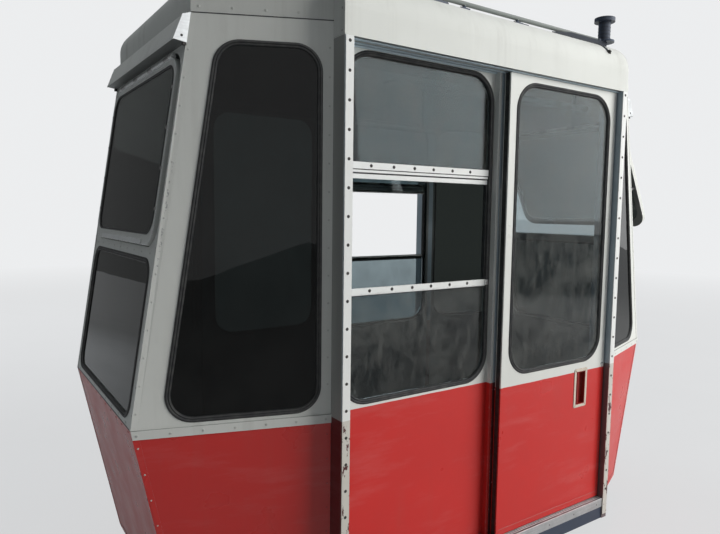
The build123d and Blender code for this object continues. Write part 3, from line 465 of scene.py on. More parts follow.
class Finish(Nodes):
    """A node material with one main shader."""

    def __init__(self, name, rough=0.5, metal=0.0, **sockets):
        super().__init__(bpy.data.materials.new("cabin_" + name))
        self.shader = self.node("ShaderNodeBsdfPrincipled")
        self.output = self.node("ShaderNodeOutputMaterial")
        self.link(self.shader.outputs[0], self.output.inputs["Surface"])
        self.set(Roughness=rough, Metallic=metal, **sockets)
        self.coord = self.node("ShaderNodeTexCoord").outputs["Object"]
        self.normal = None

    def set(self, **sockets):
        for k, v in sockets.items():
            self.put(v, self.shader.inputs[k.replace("_", " ")])

    def place(self, stretch=(1, 1, 1), shift=(0, 0, 0)):
        m = self.node("ShaderNodeMapping")
        self.link(self.coord, m.inputs["Vector"])
        m.inputs["Scale"].default_value = stretch
        m.inputs["Location"].default_value = shift
        return m.outputs[0]

    def noise(self, scale, detail=3.0, rough=0.55, stretch=(1, 1, 1), shift=(0, 0, 0)):
        n = self.node("ShaderNodeTexNoise")
        self.link(self.place(stretch, shift), n.inputs["Vector"])
        for k, v in (("Scale", scale), ("Detail", detail), ("Roughness", rough)):
            self.put(v, n.inputs[k])
        return n.outputs["Fac"]

    def axis(self, letter):
        s = self.node("ShaderNodeSeparateXYZ")
        self.link(self.coord, s.inputs[0])
        return s.outputs[letter]

    def beyond(self, letter, low, high):
        """1 farther than high from the middle along an axis, 0 nearer than low."""
        return self.band(self.maths("ABSOLUTE", self.axis(letter)), low, high)

    def edges(self, radius):
        """1 at the sharp edges of the piece, 0 on its flats. The radius is under the sheet's thickness."""
        bevel = self.node("ShaderNodeBevel", samples=4)
        bevel.inputs["Radius"].default_value = radius
        true = self.node("ShaderNodeNewGeometry").outputs["Normal"]
        return self.band(self.maths("SUBTRACT", 1.0, self.dot(bevel.outputs[0], true)), 0.02, 0.12)

    def bump(self, height, distance, strength=1.0):
        b = self.node("ShaderNodeBump")
        for k, v in (("Height", height), ("Distance", distance), ("Strength", strength)):
            self.put(v, b.inputs[k])
        if self.normal is not None:
            self.link(self.normal, b.inputs["Normal"])
        self.normal = b.outputs[0]
        self.link(self.normal, self.shader.inputs["Normal"])


PRIMER = (0.66, 0.60, 0.50)
RUST = (0.16, 0.10, 0.07)


def times(colour, factor):
    return tuple(v * factor for v in colour)


def paint(name, colour, bare=(0.32, 0.33, 0.34), rough=0.34, dirt=(0.17, 0.15, 0.12), grime=0.3, coat=0.15,
          chips=0.6, edge=0.001, below=None, split=None, sides=None, closing=None, inside=None, flaked=0.0):
    """Old brushed and sprayed paint over sheet metal: dusty, run with rain, wiped and chipped at the edges.

    below is the colour under the height split, sides gives both colours of what faces the bays, the upper
    one a darker copy as painted shade, and closing the lower colour of the posts that the doors close on.
    inside is the colour of the faces turned to the cabin's middle, and flaked the share of the lower part
    that has come off.
    """
    f = Finish(name, rough=rough)
    tone = f.band(f.noise(2.2, 4), 0.3, 0.7)
    base = f.mix(f.band(tone, 0, 1, 0.0, 0.6), colour, times(colour, 0.92))
    if below:
        under = f.mix(f.band(tone, 0, 1, 0.0, 0.6), below, times(below, 0.88))
        if closing:
            side = f.maths("MULTIPLY", f.axis("X"), f.maths("SUBTRACT", 0.0, f.axis("Y")))
            under = f.mix(f.band(side, 0.30, 0.32), under, closing)
        if flaked:
            limit = 0.66 - 0.2 * flaked
            flakes = f.band(f.noise(34, 6, 0.72, stretch=(1, 1, 0.4)), limit, limit + 0.01)
            under = f.mix(f.maths("MULTIPLY", flakes, f.beyond("Y", 0.705, 0.706)), under, bare)
        wobble = f.band(f.noise(9, 2, shift=(3, 1, 0)), 0, 1, -0.0015, 0.0015)
        low = f.band(f.maths("SUBTRACT", f.axis("Z"), wobble), split - 0.0008, split + 0.0008)
        base = f.mix(low, under, base)
        # the faces turned to the bays take the sides' colours, the upper one darker as painted shade
        if sides:
            base = f.mix(f.beyond("X", 0.7692, 0.7698), base, f.mix(low, sides[1], sides[0]))
    if inside:
        outward = f.dot(f.node("ShaderNodeTexCoord").outputs["Normal"], f.place(shift=(0, 0, 3.5)))
        base = f.mix(f.band(outward, -0.16, -0.14), inside, base)
    runs = f.band(f.noise(16, 5, 0.62, stretch=(1, 1, 0.05)), 0.5, 0.8)
    film = f.band(f.noise(5, 5, 0.6, shift=(5, 0, 2)), 0.35, 0.75)
    dirty = f.maths("MULTIPLY", f.maths("MULTIPLY", runs, film), grime)
    wiped = f.band(f.noise(9, 6, 0.7, stretch=(0.3, 0.3, 1.6), shift=(1, 7, 3)), 0.52, 0.82, 0.0, 0.07)
    base = f.mix(wiped, f.mix(dirty, base, dirt), (0.75, 0.74, 0.72))
    chipped = f.band(f.noise(55, 5, 0.7), 0.62 - 0.12 * chips, 0.66 - 0.1 * chips)
    worn = f.maths("MULTIPLY", f.edges(edge), chipped)
    dull = f.band(f.maths("ADD", dirty, f.noise(6, 3)), 0.3, 1.2, rough - 0.06, rough + 0.25)
    f.set(Base_Color=f.mix(worn, base, bare), Coat_Weight=coat, Coat_Roughness=0.15, Roughness=dull)
    f.bump(f.noise(260, 2), 0.0002, 0.15)
    f.bump(f.noise(3.2, 1), 0.004, 0.5)
    f.bump(f.maths("SUBTRACT", 1.0, worn), 0.0004, 0.7)
    return f


def bare_metal(name, colour, rough=0.35, brushed=(1, 1, 1), dirt=(0.08, 0.07, 0.06), grime=0.4, metal=1.0):
    """Bare metal with its grain, dulled in patches."""
    f = Finish(name, rough=rough, metal=metal)
    grain = f.noise(180, 3, 0.6, stretch=brushed)
    patch = f.band(f.noise(14, 5, 0.62), 0.35, 0.7)
    base = f.mix(f.band(grain, 0.3, 0.7, 0, 0.5), colour, times(colour, 0.72))
    dull = f.band(f.maths("ADD", patch, grain), 0.3, 1.4, rough - 0.08, rough + 0.28)
    f.set(Base_Color=f.mix(f.maths("MULTIPLY", patch, grime), base, dirt), Roughness=dull)
    f.bump(grain, 0.0003, 0.35)
    f.bump(f.noise(45, 4), 0.0006, 0.3)


def plain(name, noise, spread, colours, bump, rough=0.5, metal=0.0):
    """A finish of two colours mixed by one noise, with one fine bump."""
    f = Finish(name, rough=rough, metal=metal)
    f.set(Base_Color=f.mix(f.band(f.noise(*noise), *spread), *colours))
    f.bump(f.noise(*bump[:2]), *bump[2:])
    return f


def make_finishes(c):
    """All the finishes, named for what they cover."""
    # the lining inside is a grey made dark as painted shade of the closed cabin
    cream, red, post, maroon, lining, soffit, gear, rails = (
        tuple(v) for v in (c.cream, c.red, c.post, c.maroon, c.lining, c.soffit, c.gear, c.rail))
    waist = (HEAD - 1265) / 1000
    leaf = {"below": red, "rough": 0.32, "grime": 0.12, "inside": lining}
    paint("white_paint", cream, rough=0.42, coat=0.06, inside=lining)
    paint("roof_paint", times(cream, 0.94), rough=0.6, coat=0.0, grime=0.45, inside=lining)
    paint("red_paint", red, rough=0.3, grime=0.12, inside=lining)
    paint("fixed_leaf_paint", cream, split=waist, **leaf)
    paint("sliding_leaf_paint", cream, split=(HEAD - 1283) / 1000, **leaf)
    # door posts: slate above the waist and maroon below; their sides turned to the bays are the cream at half
    # its brightness as painted shade, and the closing posts are taupe below
    paint("grey_paint", post, below=maroon, split=waist, rough=0.4, bare=(0.6, 0.6, 0.55), chips=0.8,
          sides=(times(cream, 0.5), maroon), closing=(0.15, 0.115, 0.12))
    paint("soffit_paint", soffit, rough=0.5, chips=0.3)
    paint("dark_paint", gear, rough=0.42, bare=RUST, chips=0.9, edge=0.004)
    # the bars under the rails: the gear's paint at 0.3 of its brightness, as painted shade
    paint("bar_paint", times(gear, 0.3), rough=0.6, coat=0.0, grime=0.1)
    rail = paint("rail_paint", rails, rough=0.5, bare=RUST, chips=0.9)
    # the tube is pale, its stanchions and its ends are as dark as the gear
    ends = rail.beyond("X", 0.689, 0.6905)
    above = rail.band(rail.axis("Z"), (RAIL_Z - 9.5) / 1000, (RAIL_Z - 9) / 1000)
    painted = rail.shader.inputs["Base Color"].links[0].from_socket
    tube = rail.maths("MULTIPLY", above, rail.maths("SUBTRACT", 1.0, ends))
    rail.set(Base_Color=rail.mix(tube, gear, painted))
    paint("strip", (0.80, 0.82, 0.81), rough=0.36, grime=0.25, below=(0.62, 0.60, 0.55), split=waist,
          chips=1.0, bare=(0.07, 0.014, 0.016), flaked=0.35)
    paint("chipped_cream", PRIMER, bare=(0.22, 0.03, 0.03), chips=2.2, grime=0.7, edge=0.002)
    paint("pull_paint", times(red, 0.5), bare=PRIMER, chips=1.6, grime=0.6)
    paint("wall_rivet", times(cream, 0.8), chips=1.0, grime=0.8)
    paint("red_rivet", times(red, 0.8), chips=1.0, grime=0.5)
    # ceiling ribs in the lining's dark grey, painted shade inside the cabin
    paint("lining_paint", lining, rough=0.5)
    bare_metal("aluminium", (0.80, 0.82, 0.82), 0.36, brushed=(0.05, 1, 1), grime=0.25)
    bare_metal("steel", (0.46, 0.46, 0.46), 0.3)
    bare_metal("iron", (0.17, 0.17, 0.17), 0.55, grime=0.6, metal=0.8)
    plain("rivet", (160, 2), (0.4, 0.6), ((0.012, 0.012, 0.013), (0.05, 0.045, 0.04)),
          (300, 2, 0.0002, 0.4), rough=0.55)
    plain("rubber", (38, 4), (0.4, 0.75), ((0.010, 0.011, 0.012), (0.042, 0.042, 0.040)),
          (420, 2, 0.0002, 0.4))
    plain("floor", (8, 5), (0.4, 0.7), ((0.30, 0.31, 0.32), (0.08, 0.075, 0.07)),
          (120, 3, 0.0004, 0.4), metal=0.9)
    # door panes: a light tint under dust; bay, end and hopper panes: a dark tint with little dust, partly a
    # smoked tint and partly painted shade of the sides away from the light
    for name, tint, dust in (("glass", (0.25, 0.31, 0.33), 0.19),
                             ("smoked_glass", (0.022, 0.026, 0.024), 0.02)):
        f = Finish(name, rough=0.02, IOR=1.3, Transmission_Weight=1.0)
        f.set(Base_Color=tint)
        film = f.band(f.noise(6, 6, 0.65), 0.42, 0.85, 0.02, 1.0)
        wipes = f.band(f.noise(26, 5, 0.7, stretch=(1, 1, 0.35)), 0.45, 0.8)
        dusty = f.node("ShaderNodeBsdfDiffuse")
        dusty.inputs["Color"].default_value = (0.46, 0.46, 0.43, 1)
        amount = f.maths("MULTIPLY", f.maths("MAXIMUM", film, wipes), dust)
        f.link(f.blend(amount, f.shader.outputs[0], dusty.outputs[0]), f.output.inputs["Surface"])
        f.bump(f.noise(3, 1), 0.003, 0.2)


CAD_FINISH = {
    "roof_paint": "roof_shell",
    "rail_paint": "roof_rails",
    "white_paint": "door_headers waist_mouldings end_visors bay_panels end_panels hopper_rear hopper_front",
    "red_paint": "bay_aprons end_aprons",
    "fixed_leaf_paint": "fixed_leaf_right fixed_leaf_left",
    "sliding_leaf_paint": "sliding_leaf_right sliding_leaf_left",
    "grey_paint": "portal_posts centre_posts",
    "dark_paint": "floor_frame hanger_base hanger_arm carriage_beam rocker_rear rocker_front "
                  "guide_roller_rear_right guide_roller_front_right "
                  "guide_roller_rear_left guide_roller_front_left",
    "strip": "cover_strips sash_bars",
    "aluminium": "hopper_hinges",
    "pull_paint": "door_pull_right door_pull_left",
    "steel": "hanger_pin grab_rails door_hangers_right door_hangers_left",
    "iron": "sheave_1 sheave_2 sheave_3 sheave_4 haul_sockets",
    "floor": "floor_plate",
    "glass": "fixed_leaf_panes sliding_pane_right sliding_pane_left",
    "smoked_glass": "bay_panes end_panes hopper_panes",
    "rubber": "bay_gaskets end_gaskets fixed_leaf_gaskets sliding_gasket_right sliding_gasket_left",
}


def dress_frame():
    """The finish of every solid that comes with the frame."""
    left = set(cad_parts)
    for finish, names in CAD_FINISH.items():
        for name in names.split():
            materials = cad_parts[name].data.materials
            materials.clear()
            materials.append(finish_called(finish))
            left.discard(name)
    if left:
        raise RuntimeError(f"no finish for {sorted(left)}")


# Windows
def make_rubbers():
    """The rubbers round all the panes, with their key strips."""
    top, low = HEAD - 22, HEAD - 1243
    bay = [(-37, top), (bay_far(top, 89), top), (bay_far(low, 89), low), (-37, low)]
    fixed = rectangle(FIXED_X0 + 17, FIXED_X1 - 17, HEAD - 11, HEAD - 1253)
    sliding = rectangle(SLIDING_X0 + 43, SLIDING_X1 - 43, HEAD - 31, HEAD - 1238)
    s = Stock()
    for outline, radius, place, places in ((bay, BAY_ROUND, BAY, ALL_FOUR),
                                           (end_rect(42, 722, 1238), END_ROUND, END, BOTH_ENDS),
                                           (fixed, DOOR_ROUND, door_plane(FIXED_D), TURNED)):
        s.add(Stock().band(rounded(outline, radius, 12), place, RUBBER), places)
    s.piece("window_rubbers", "rubber", sharp=50,
            stands_for=("bay_gaskets", "end_gaskets", "fixed_leaf_gaskets"))
    for side, m in DOORS:
        s = Stock().band(rounded(sliding, DOOR_ROUND, 12), m @ door_plane(SLIDING_D), RUBBER)
        s.piece(f"sliding_rubber_{side}", "rubber", body=f"door_{side}", sharp=50,
                stands_for=(f"sliding_gasket_{side}",))


# Rivets, corners and hems
def make_rivets():
    """Rivets of the strips, sash bars, waist mouldings, corners and eaves."""
    strips, bars, wall = Stock(), Stock(), Stock()
    front, face = door_plane(-3), door_plane(FIXED_D + 2)
    strips.rivets([at(front, -HALF_L + 18.5, z) for z in evenly(HEAD - 16.6, -STRIP_PITCH, 21)], 5.6, 1.4)
    for z in (HEAD - 400, HEAD - 842):
        bars.rivets([at(face, -HALF_L + x, z) for x in SASH_RIVETS], 6.2, 1.6)
    bars.rivets([at(face, FIXED_X1 - 9, HEAD - 843)], 4.0, 1.6)
    Stock().add(strips, ALL_FOUR).add(bars, TURNED).piece("strip_rivets", "rivet", slot="steel", sharp=60)
    wall.rivets([at(BAY, x, WAIST - 16, 4) for x in evenly(-19, -101.5, 7)], 4.4, 1.6)
    wall.rivets([at(BAY, -(114 + 104 * k), EAVES + 19, 0.2 + 0.3 * k) for k in range(4)], 4.4, 1.6)
    for z in evenly(HEAD - 60, -88, 14) + evenly(WAIST - 60, -90, 8):
        wall.rivets([at(BAY, bay_far(z, 9), z, 0.9)], 3.2, 1.1)
    wall.piece("wall_rivets", "wall_rivet", ALL_FOUR, slot="white_paint", sharp=60)


def make_corners():
    """Angle strips over the corners between the bays and the ends, above and below the waist."""
    for name, top, low, finish in (("upper", EAVES - 3, WAIST + 1, "white_paint"),
                                   ("lower", WAIST - 31, SKIRT + 2, "red_paint")):
        rings = []
        for z in (low, top):
            turn, x = bay_turn(z), -end_reach(z)
            corner = Vector((x, -END_HALF, z))
            rings.append([BAY @ (bay_far(z, 20), z, 0.2), BAY @ (bay_far(z, 20), z, 1.0),
                          corner + Vector((-sin(turn), -cos(turn), 0)) + Vector((-1.0, 0, 0)),
                          Vector((x - 1.0, -END_HALF + 14, z)), Vector((x + 0.2, -END_HALF + 14, z)),
                          corner + Vector((0.1, 0.1, 0))])
        Stock().loft(rings).piece(f"corner_strips_{name}", finish, ALL_FOUR, sharp=25)


def bay_strip(top, low, near, from_corner, out0, out1):
    """A flat strip along the rear right bay, from near the portal to near the corner."""
    section = ((low, out0), (low, out1), (top, out1), (top, out0))
    return Stock().loft([[BAY @ (near, z, out) for z, out in section],
                         [BAY @ (bay_far(z, from_corner), z, out) for z, out in section]])


def make_hems():
    """Folded hems along the skirt and the sealed, riveted joints of the aprons."""
    half = END_HALF - 15
    end = Stock().block(-half, half, apron_up(SKIRT + 1.5), apron_up(SKIRT + 26), -0.2, 1.5, 0.5, APRON)
    hems = Stock().add(bay_strip(SKIRT + 26, SKIRT + 1.5, -2, 1, -0.2, 1.5), ALL_FOUR).add(end, BOTH_ENDS)
    hems.piece("apron_hems", "red_paint")
    bay, end, sides = Stock(), Stock(), (7 - END_HALF, END_HALF - 7)
    bay.rivets([at(BAY, x, SKIRT + 14, 1.5) for x in evenly(-30, -66, 7)], 4.0, 1.4)
    bay.rivets([at(BAY, -12, z) for z in evenly(WAIST - 70, -88, 8)], 3.6, 1.3)
    for up, proud in ((apron_up(SKIRT + 14), 1.5), (apron_up(WAIST - 16), 0)):
        end.rivets([at(APRON, -half + 30 + k * (half - 30) / 5, up, proud) for k in range(11)], 4.0, 1.4)
    low_rows = product(evenly(WAIST - 60, -90, 8), sides)
    end.rivets([at(APRON, x, apron_up(z), 1.0) for z, x in low_rows], 3.2, 1.1)
    rivets = Stock().add(bay, ALL_FOUR).add(end, BOTH_ENDS)
    rivets.piece("apron_rivets", "red_rivet", slot="red_paint", sharp=60)
    rows = product(evenly(HEAD - 66, -88, 14), sides)
    s = Stock().rivets([at(END, x, end_up(z), 1.0) for z, x in rows], 3.2, 1.1)
    s.rivets([at(END, x, end_up(WAIST + 9)) for x in evenly(-400, 100, 9)], 4.0, 1.4)
    s.rivets([at(END, x, end_up(HEAD - 703)) for x in evenly(-400, 100, 9)], 3.4, 1.2)
    s.piece("end_rivets", "wall_rivet", BOTH_ENDS, slot="white_paint", sharp=60)
    s = Stock().rivets([at(BAY, -12, z) for z in evenly(HEAD - 30, -STRIP_PITCH, 13)], 3.6, 1.3)
    s.piece("bay_rivets", "wall_rivet", ALL_FOUR, slot="white_paint", sharp=60)
    s = Stock().block(-END_HALF + 1, END_HALF - 1, -1.4, 1.4, -0.4, 0.7, 0, END)
    s.piece("waist_sealant", "rubber", BOTH_ENDS)


# Doors
def make_sliding_doors():
    """Seals, hems, pulls, locks and hanger nuts that travel with the sliding leaves."""
    face = door_plane(SLIDING_D)
    y = -HALF_W + SLIDING_D + LEAF_T / 2
    z0, z1 = FLOOR + 5, HEAD - 5
    # a bulb on the closing edge, a lip on the trailing edge and one under the leaf
    bulb = [(2.8 * sin(a * pi / 6) * 2.6, 2.8 * cos(a * pi / 6)) for a in range(12)]
    seals = Stock().tube([(SLIDING_X1 + 1.6, y, z) for z in (z0 + 3, z1 - 3)], section=bulb)
    seals.block(SLIDING_X0 - 1.6, SLIDING_X0, y - 10, y + 10, z0, z1, 0.4)
    seals.block(SLIDING_X0 + 6, SLIDING_X1 - 6, y - 3, y + 3, z0 - 3.2, z0, 0.4)
    # folded edges that stand a little proud
    hems = Stock().blocks(face, (SLIDING_X0 + 0.4, SLIDING_X0 + 15, z0 + 0.5, z1 - 0.5, -0.4, 1.1, 0.5),
                          (SLIDING_X1 - 15, SLIDING_X1 - 0.4, z0 + 0.5, z1 - 0.5, -0.4, 1.1, 0.5),
                          (SLIDING_X0 + 15, SLIDING_X1 - 15, z0 + 0.5, z0 + 26, -0.4, 1.0, 0.5))
    # the flange round the pull's cup with its screws, and the lock beside it
    x1, top = SLIDING_X1 - 135, HEAD - 1278
    x0, low = x1 - 75, top - 165
    flange = Stock().band(rounded(rectangle(x0 - 9, x1 + 9, low - 9, top + 9), 9, 5), face, PULL_FLANGE)
    screws, lock = Stock(), at(face, SLIDING_X1 - 14, HEAD - 1264)
    for x, z in product((x0 - 3.6, x1 + 3.6), (low + 12, (low + top) / 2, top - 12)):
        screws.screws([at(face, x, z, 2.2, 0.6 + z)], 3.1, 1.0)
    screws.lathe([(11, -0.5), (11, 1.2), (9.6, 2.2), (6.2, 2.4), (5.0, 1.4), (0, 1.2)], lock, 24)
    plug = Stock().lathe([(4.6, 1.0), (4.6, 1.7), (0, 1.9)], lock, 16)
    # nuts on the axles of the rollers that carry the leaf
    nuts = Stock()
    for x, way in product((SLIDING_X0 + 90, SLIDING_X1 - 90), (-1, 1)):
        place = plane((x, y + way * 14, HEAD + 23.4), (1, 0, 0), (0, 0, -way))
        nuts.lathe([(6, -0.3), (6, 1.5), (0, 1.8)], place, 12)
    for side, m in DOORS:
        for name, s, finish, slot in (("leaf_seals", seals, "rubber", None),
                                      ("leaf_hems", hems, "sliding_leaf_paint", "door_paint"),
                                      ("pull_flange", flange, "chipped_cream", "strip"),
                                      ("pull_screws", screws, "aluminium", "steel"),
                                      ("pull_lock", plug, "rubber", None),
                                      ("hanger_nuts", nuts, "steel", None)):
            s.piece(f"{name}_{side}", finish, (m,), f"door_{side}", slot)


def make_door_frames():
    """Sash rails and rubbers, trims of the centre posts, sills and soffits round the doors."""
    face = door_plane(FIXED_D)
    x0, x1 = FIXED_X0 + 33, FIXED_X1 - 33
    # rails of the raised pane, and a lip under the lower riveted bar
    s = Stock().blocks(face, (x0, x1, HEAD - 424, HEAD - 415, -9, -4, 0.6),
                       (x0 - 2, x1 + 2, HEAD - 446, HEAD - 428.5, -13, -7.6, 1.2),
                       (x0, x1, HEAD - 857, HEAD - 853.5, -6, -2.5, 0.5))
    s.piece("sash_rails", "strip", TURNED)
    # glazing lips over and under them, and run channels of the panes along the open part
    s = Stock().blocks(face, (x0, x1, HEAD - 414.8, HEAD - 412.2, -8, -3, 0.4),
                       (x0, x1, HEAD - 428, HEAD - 424.4, -12, -6, 0.4),
                       (x0, x1, HEAD - 388, HEAD - 385.5, -7, -2.6, 0.4),
                       (x0, x1, HEAD - 860, HEAD - 857.2, -8, -3.4, 0.4),
                       (x0 - 4, x0 + 5, HEAD - 832, HEAD - 446.5, -24, -6, 0.8),
                       (x1 - 5, x1 + 4, HEAD - 832, HEAD - 446.5, -24, -6, 0.8))
    s.piece("sash_rubbers", "rubber", TURNED)
    # end brackets of the lower bar, lapping on to the leaf
    s = Stock().blocks(face, (x1 - 2, FIXED_X1 - 2.5, HEAD - 854, HEAD - 832, 0.2, 2.6, 0.8),
                       (x0 - 16, x0 + 2, HEAD - 854, HEAD - 832, 0.2, 2.6, 0.8))
    s.piece("sash_brackets", "strip", TURNED)
    # centre post: the rubber lip and the grey channel that the sliding leaf closes on
    front, post, top = door_plane(SLIDING_D + LEAF_T + 9), FIXED_X1, HEAD - 1
    s = Stock().block(post + 33, post + 38, FLOOR, top, -0.5, 3.6, 1.2, front)
    s.piece("centre_lips", "rubber", TURNED)
    s = Stock().block(post + 4, post + 30, FLOOR + 2, top, -0.5, 1.8, 0.7, front)
    s.piece("centre_channels", "grey_paint", TURNED)
    drops = (700, 1130, 1296, 1700)
    s = Stock().screws([at(front, post + 20, HEAD - drop, 1.8, drop) for drop in drops], 3.6, 1.2)
    s.piece("centre_screws", "aluminium", TURNED, slot="steel")
    # the pale angle that laps over the edge of the fixed leaf on to the post
    s = Stock().blocks(front, (post - 12, post + 2, FLOOR, top, -0.5, 3.4, 1.0),
                       (post - 12, post - 9, FLOOR, top, LEAF_T + 9 + SLIDING_D - FIXED_D - 0.3, 0, 0.4))
    s.piece("centre_angles", "fixed_leaf_paint", TURNED, slot="door_paint")
    # a long scrape down to the primer on the right centre post, as a flake of its own
    rnd, rings = Random(7), []
    for k in range(29):
        z = HEAD - 440 - 8.2 * k
        slim = 1.0 if 2 < k < 26 else 0.35
        low, high = post + 9.0 + rnd.random() * 2.0, post + 17.0 - rnd.random() * 2.4
        mid = (low + high) / 2
        outline = rectangle(mid - (mid - low) * slim, mid + (high - mid) * slim, 1.6, 2.1)
        rings.append([front @ Vector((x, z, h)) for x, h in outline])
    Stock().loft(rings).piece("post_scrape", "white_paint", slot="strip")
    # sills: a ribbed tread, lower where the leaf runs, its front edge and the screws
    inner, s = HALF_L - POST_W, Stock()
    for k in range(6):
        y = -HALF_W + 12 + k * 8.2
        s.block(2 - inner, inner - 2, y, y + 3.4, FLOOR - 0.2, FLOOR + (0.8 if k in (2, 3) else 1.6), 0.5)
    s.block(1 - inner, inner - 1, -HALF_W + 0.8, -HALF_W + 4.2, FLOOR - 42, FLOOR + 0.2, 0.8)
    s.piece("sill_treads", "aluminium", TURNED, slot="strip")
    xs = enumerate(evenly(-HALF_L + 78, 173, 9))
    s = Stock().screws([at(door_plane(0.8), x, FLOOR - 22, 0, k) for k, x in xs], 4.0, 1.5)
    s.piece("sill_screws", "steel", TURNED)
    # soffit under the header: a channel's two lips beside the slot, with screws
    s = Stock()
    for y in (-HALF_W + 18, -HALF_W + 54):
        s.block(1 - inner, inner - 1, y, y + 12, HEAD - 3.6, HEAD + 0.3, 0.6)
    s.block(1 - inner, FIXED_X1, -HALF_W + FIXED_D - 9, -HALF_W + FIXED_D - 1, HEAD - 7, HEAD + 0.3, 0.8)
    s.piece("soffit_channels", "soffit_paint", TURNED, slot="grey_paint")
    xs = evenly(-HALF_L + 110, 118, 6)
    s = Stock().screws([facing(x, -HALF_W + 70, HEAD - 0.2, "down") for x in xs], 4.2, 1.6)
    s.piece("soffit_screws", "steel", TURNED)


# Ends
HOPPER_HINGE = END @ Vector((0, end_up(HEAD - 60), 4))
FRONT_HINGE = Vector((-HOPPER_HINGE.x, 0, HOPPER_HINGE.z))
OPENED = Matrix.Rotation(radians(-18), 4, "Y")
HOPPER_OPEN = Matrix.Translation(FRONT_HINGE) @ OPENED @ Matrix.Translation(-FRONT_HINGE) @ MIRROR_X
HOPPERS = (Matrix(), HOPPER_OPEN)


def crosswise(p):
    """A place whose z runs across the cabin."""
    return plane(p, (0, 0, 1), (1, 0, 0))


def make_hoppers():
    """Channel, glazing rubber, clips and fittings of the top-hung windows."""
    s = Stock().band(rounded(end_rect(63, 95, 640), 60.5), END, HOPPER_RUBBER)
    s.piece("hopper_rubbers", "rubber", HOPPERS, sharp=50)
    s = Stock().band(rounded(end_rect(36, 68, 681), 74), END, HOPPER_CHANNEL)
    s.block(-300, 300, end_up(HEAD - 679), end_up(HEAD - 662), 6.8, 10.5, 1.2, END)
    s.piece("hopper_channels", "strip", HOPPERS)
    # clips on the sides, catches under the sill rail and the hinge's knuckles
    s = Stock()
    for x, drop in product((50 - END_HALF, END_HALF - 50), (170, 300, 430, 560)):
        up = end_up(HEAD - drop)
        s.block(-9, 9, -5, 5, 0, 4.2, 1, at(END, x, up, 6.5)).screws([at(END, x, up, 10.2, drop)], 2.8, 1.0)
    up = end_up(HEAD - 662)
    for x in (-210, 210):
        s.block(x - 26, x + 26, end_up(HEAD - 674), end_up(HEAD - 650), -15.5, -11, 1.5, END)
        s.tube(bent([END @ Vector(p) for p in ((x, up, -12), (x, up, -40), (x + 50, up, -44))], 10), 5, 10)
    for x in (-300, -100, 100, 300):
        s.lathe([(10.2, -26), (10.2, 26)], crosswise(END @ Vector((x, end_up(HEAD - 60), 4))), 18)
    s.piece("hopper_fittings", "steel", HOPPERS)
    # stays that hold the front one open, from the frame to the opening's sides
    s = Stock()
    for sy in (-1, 1):
        a = MIRROR_X @ (END @ Vector((-sy * (END_HALF - 40), end_up(HEAD - 440), -4)))
        b = HOPPER_OPEN @ (END @ Vector((-sy * (END_HALF - 50), end_up(HEAD - 440), -14)))
        d = (b - a).normalized()
        s.tube([a - d * 6, b + d * 4], section=rectangle(-1.6, 1.6, -7, 7))
        for p in (a, b):
            s.lathe([(8, -5), (8, 5)], crosswise(p), 14)
    s.piece("hopper_stays", "steel")


def make_visors():
    """End plates, clips, drip edges and seals of the rain visors."""
    top, low = HEAD + 55, HEAD - 32
    x0, x1 = -end_reach(top), -end_reach(low)
    side = upright(-END_HALF)
    outline = [(x0, top), (-end_reach(top - 9) - 24, top - 9), (x1 - 42, low), (-end_reach(low - 6), low - 6)]
    s = Stock().prism(inset(outline, -1.2), side, -1.0, 1.6, 0.4)
    s.piece("visor_plates", "aluminium", ALL_FOUR, slot="strip")
    s = Stock().rivets([at(side, x1 - 16, low + 13, 1.6)], 4.2, 1.6)
    s.block(x1 - 14, x1 - 2, low - 16, low - 7, -7, 3, 0.8, side)
    s.piece("visor_clips", "rivet", ALL_FOUR, slot="steel")
    drip = [(x1 - 42.4, low + 5), (x1 - 44.0, low - 2.5), (x1 - 42.0, low - 3.0), (x1 - 40.5, low + 0.5)]
    seal = [(x0 + 1, top + 3), (x0 - 9, top + 0.4), (x0 - 9, top - 3.5), (x0 + 1, top - 3)]
    for name, outline, finish in (("visor_drips", drip, "white_paint"), ("visor_seals", seal, "rubber")):
        Stock().prism(outline, upright(0), 1 - END_HALF, END_HALF - 1).piece(name, finish, BOTH_ENDS)


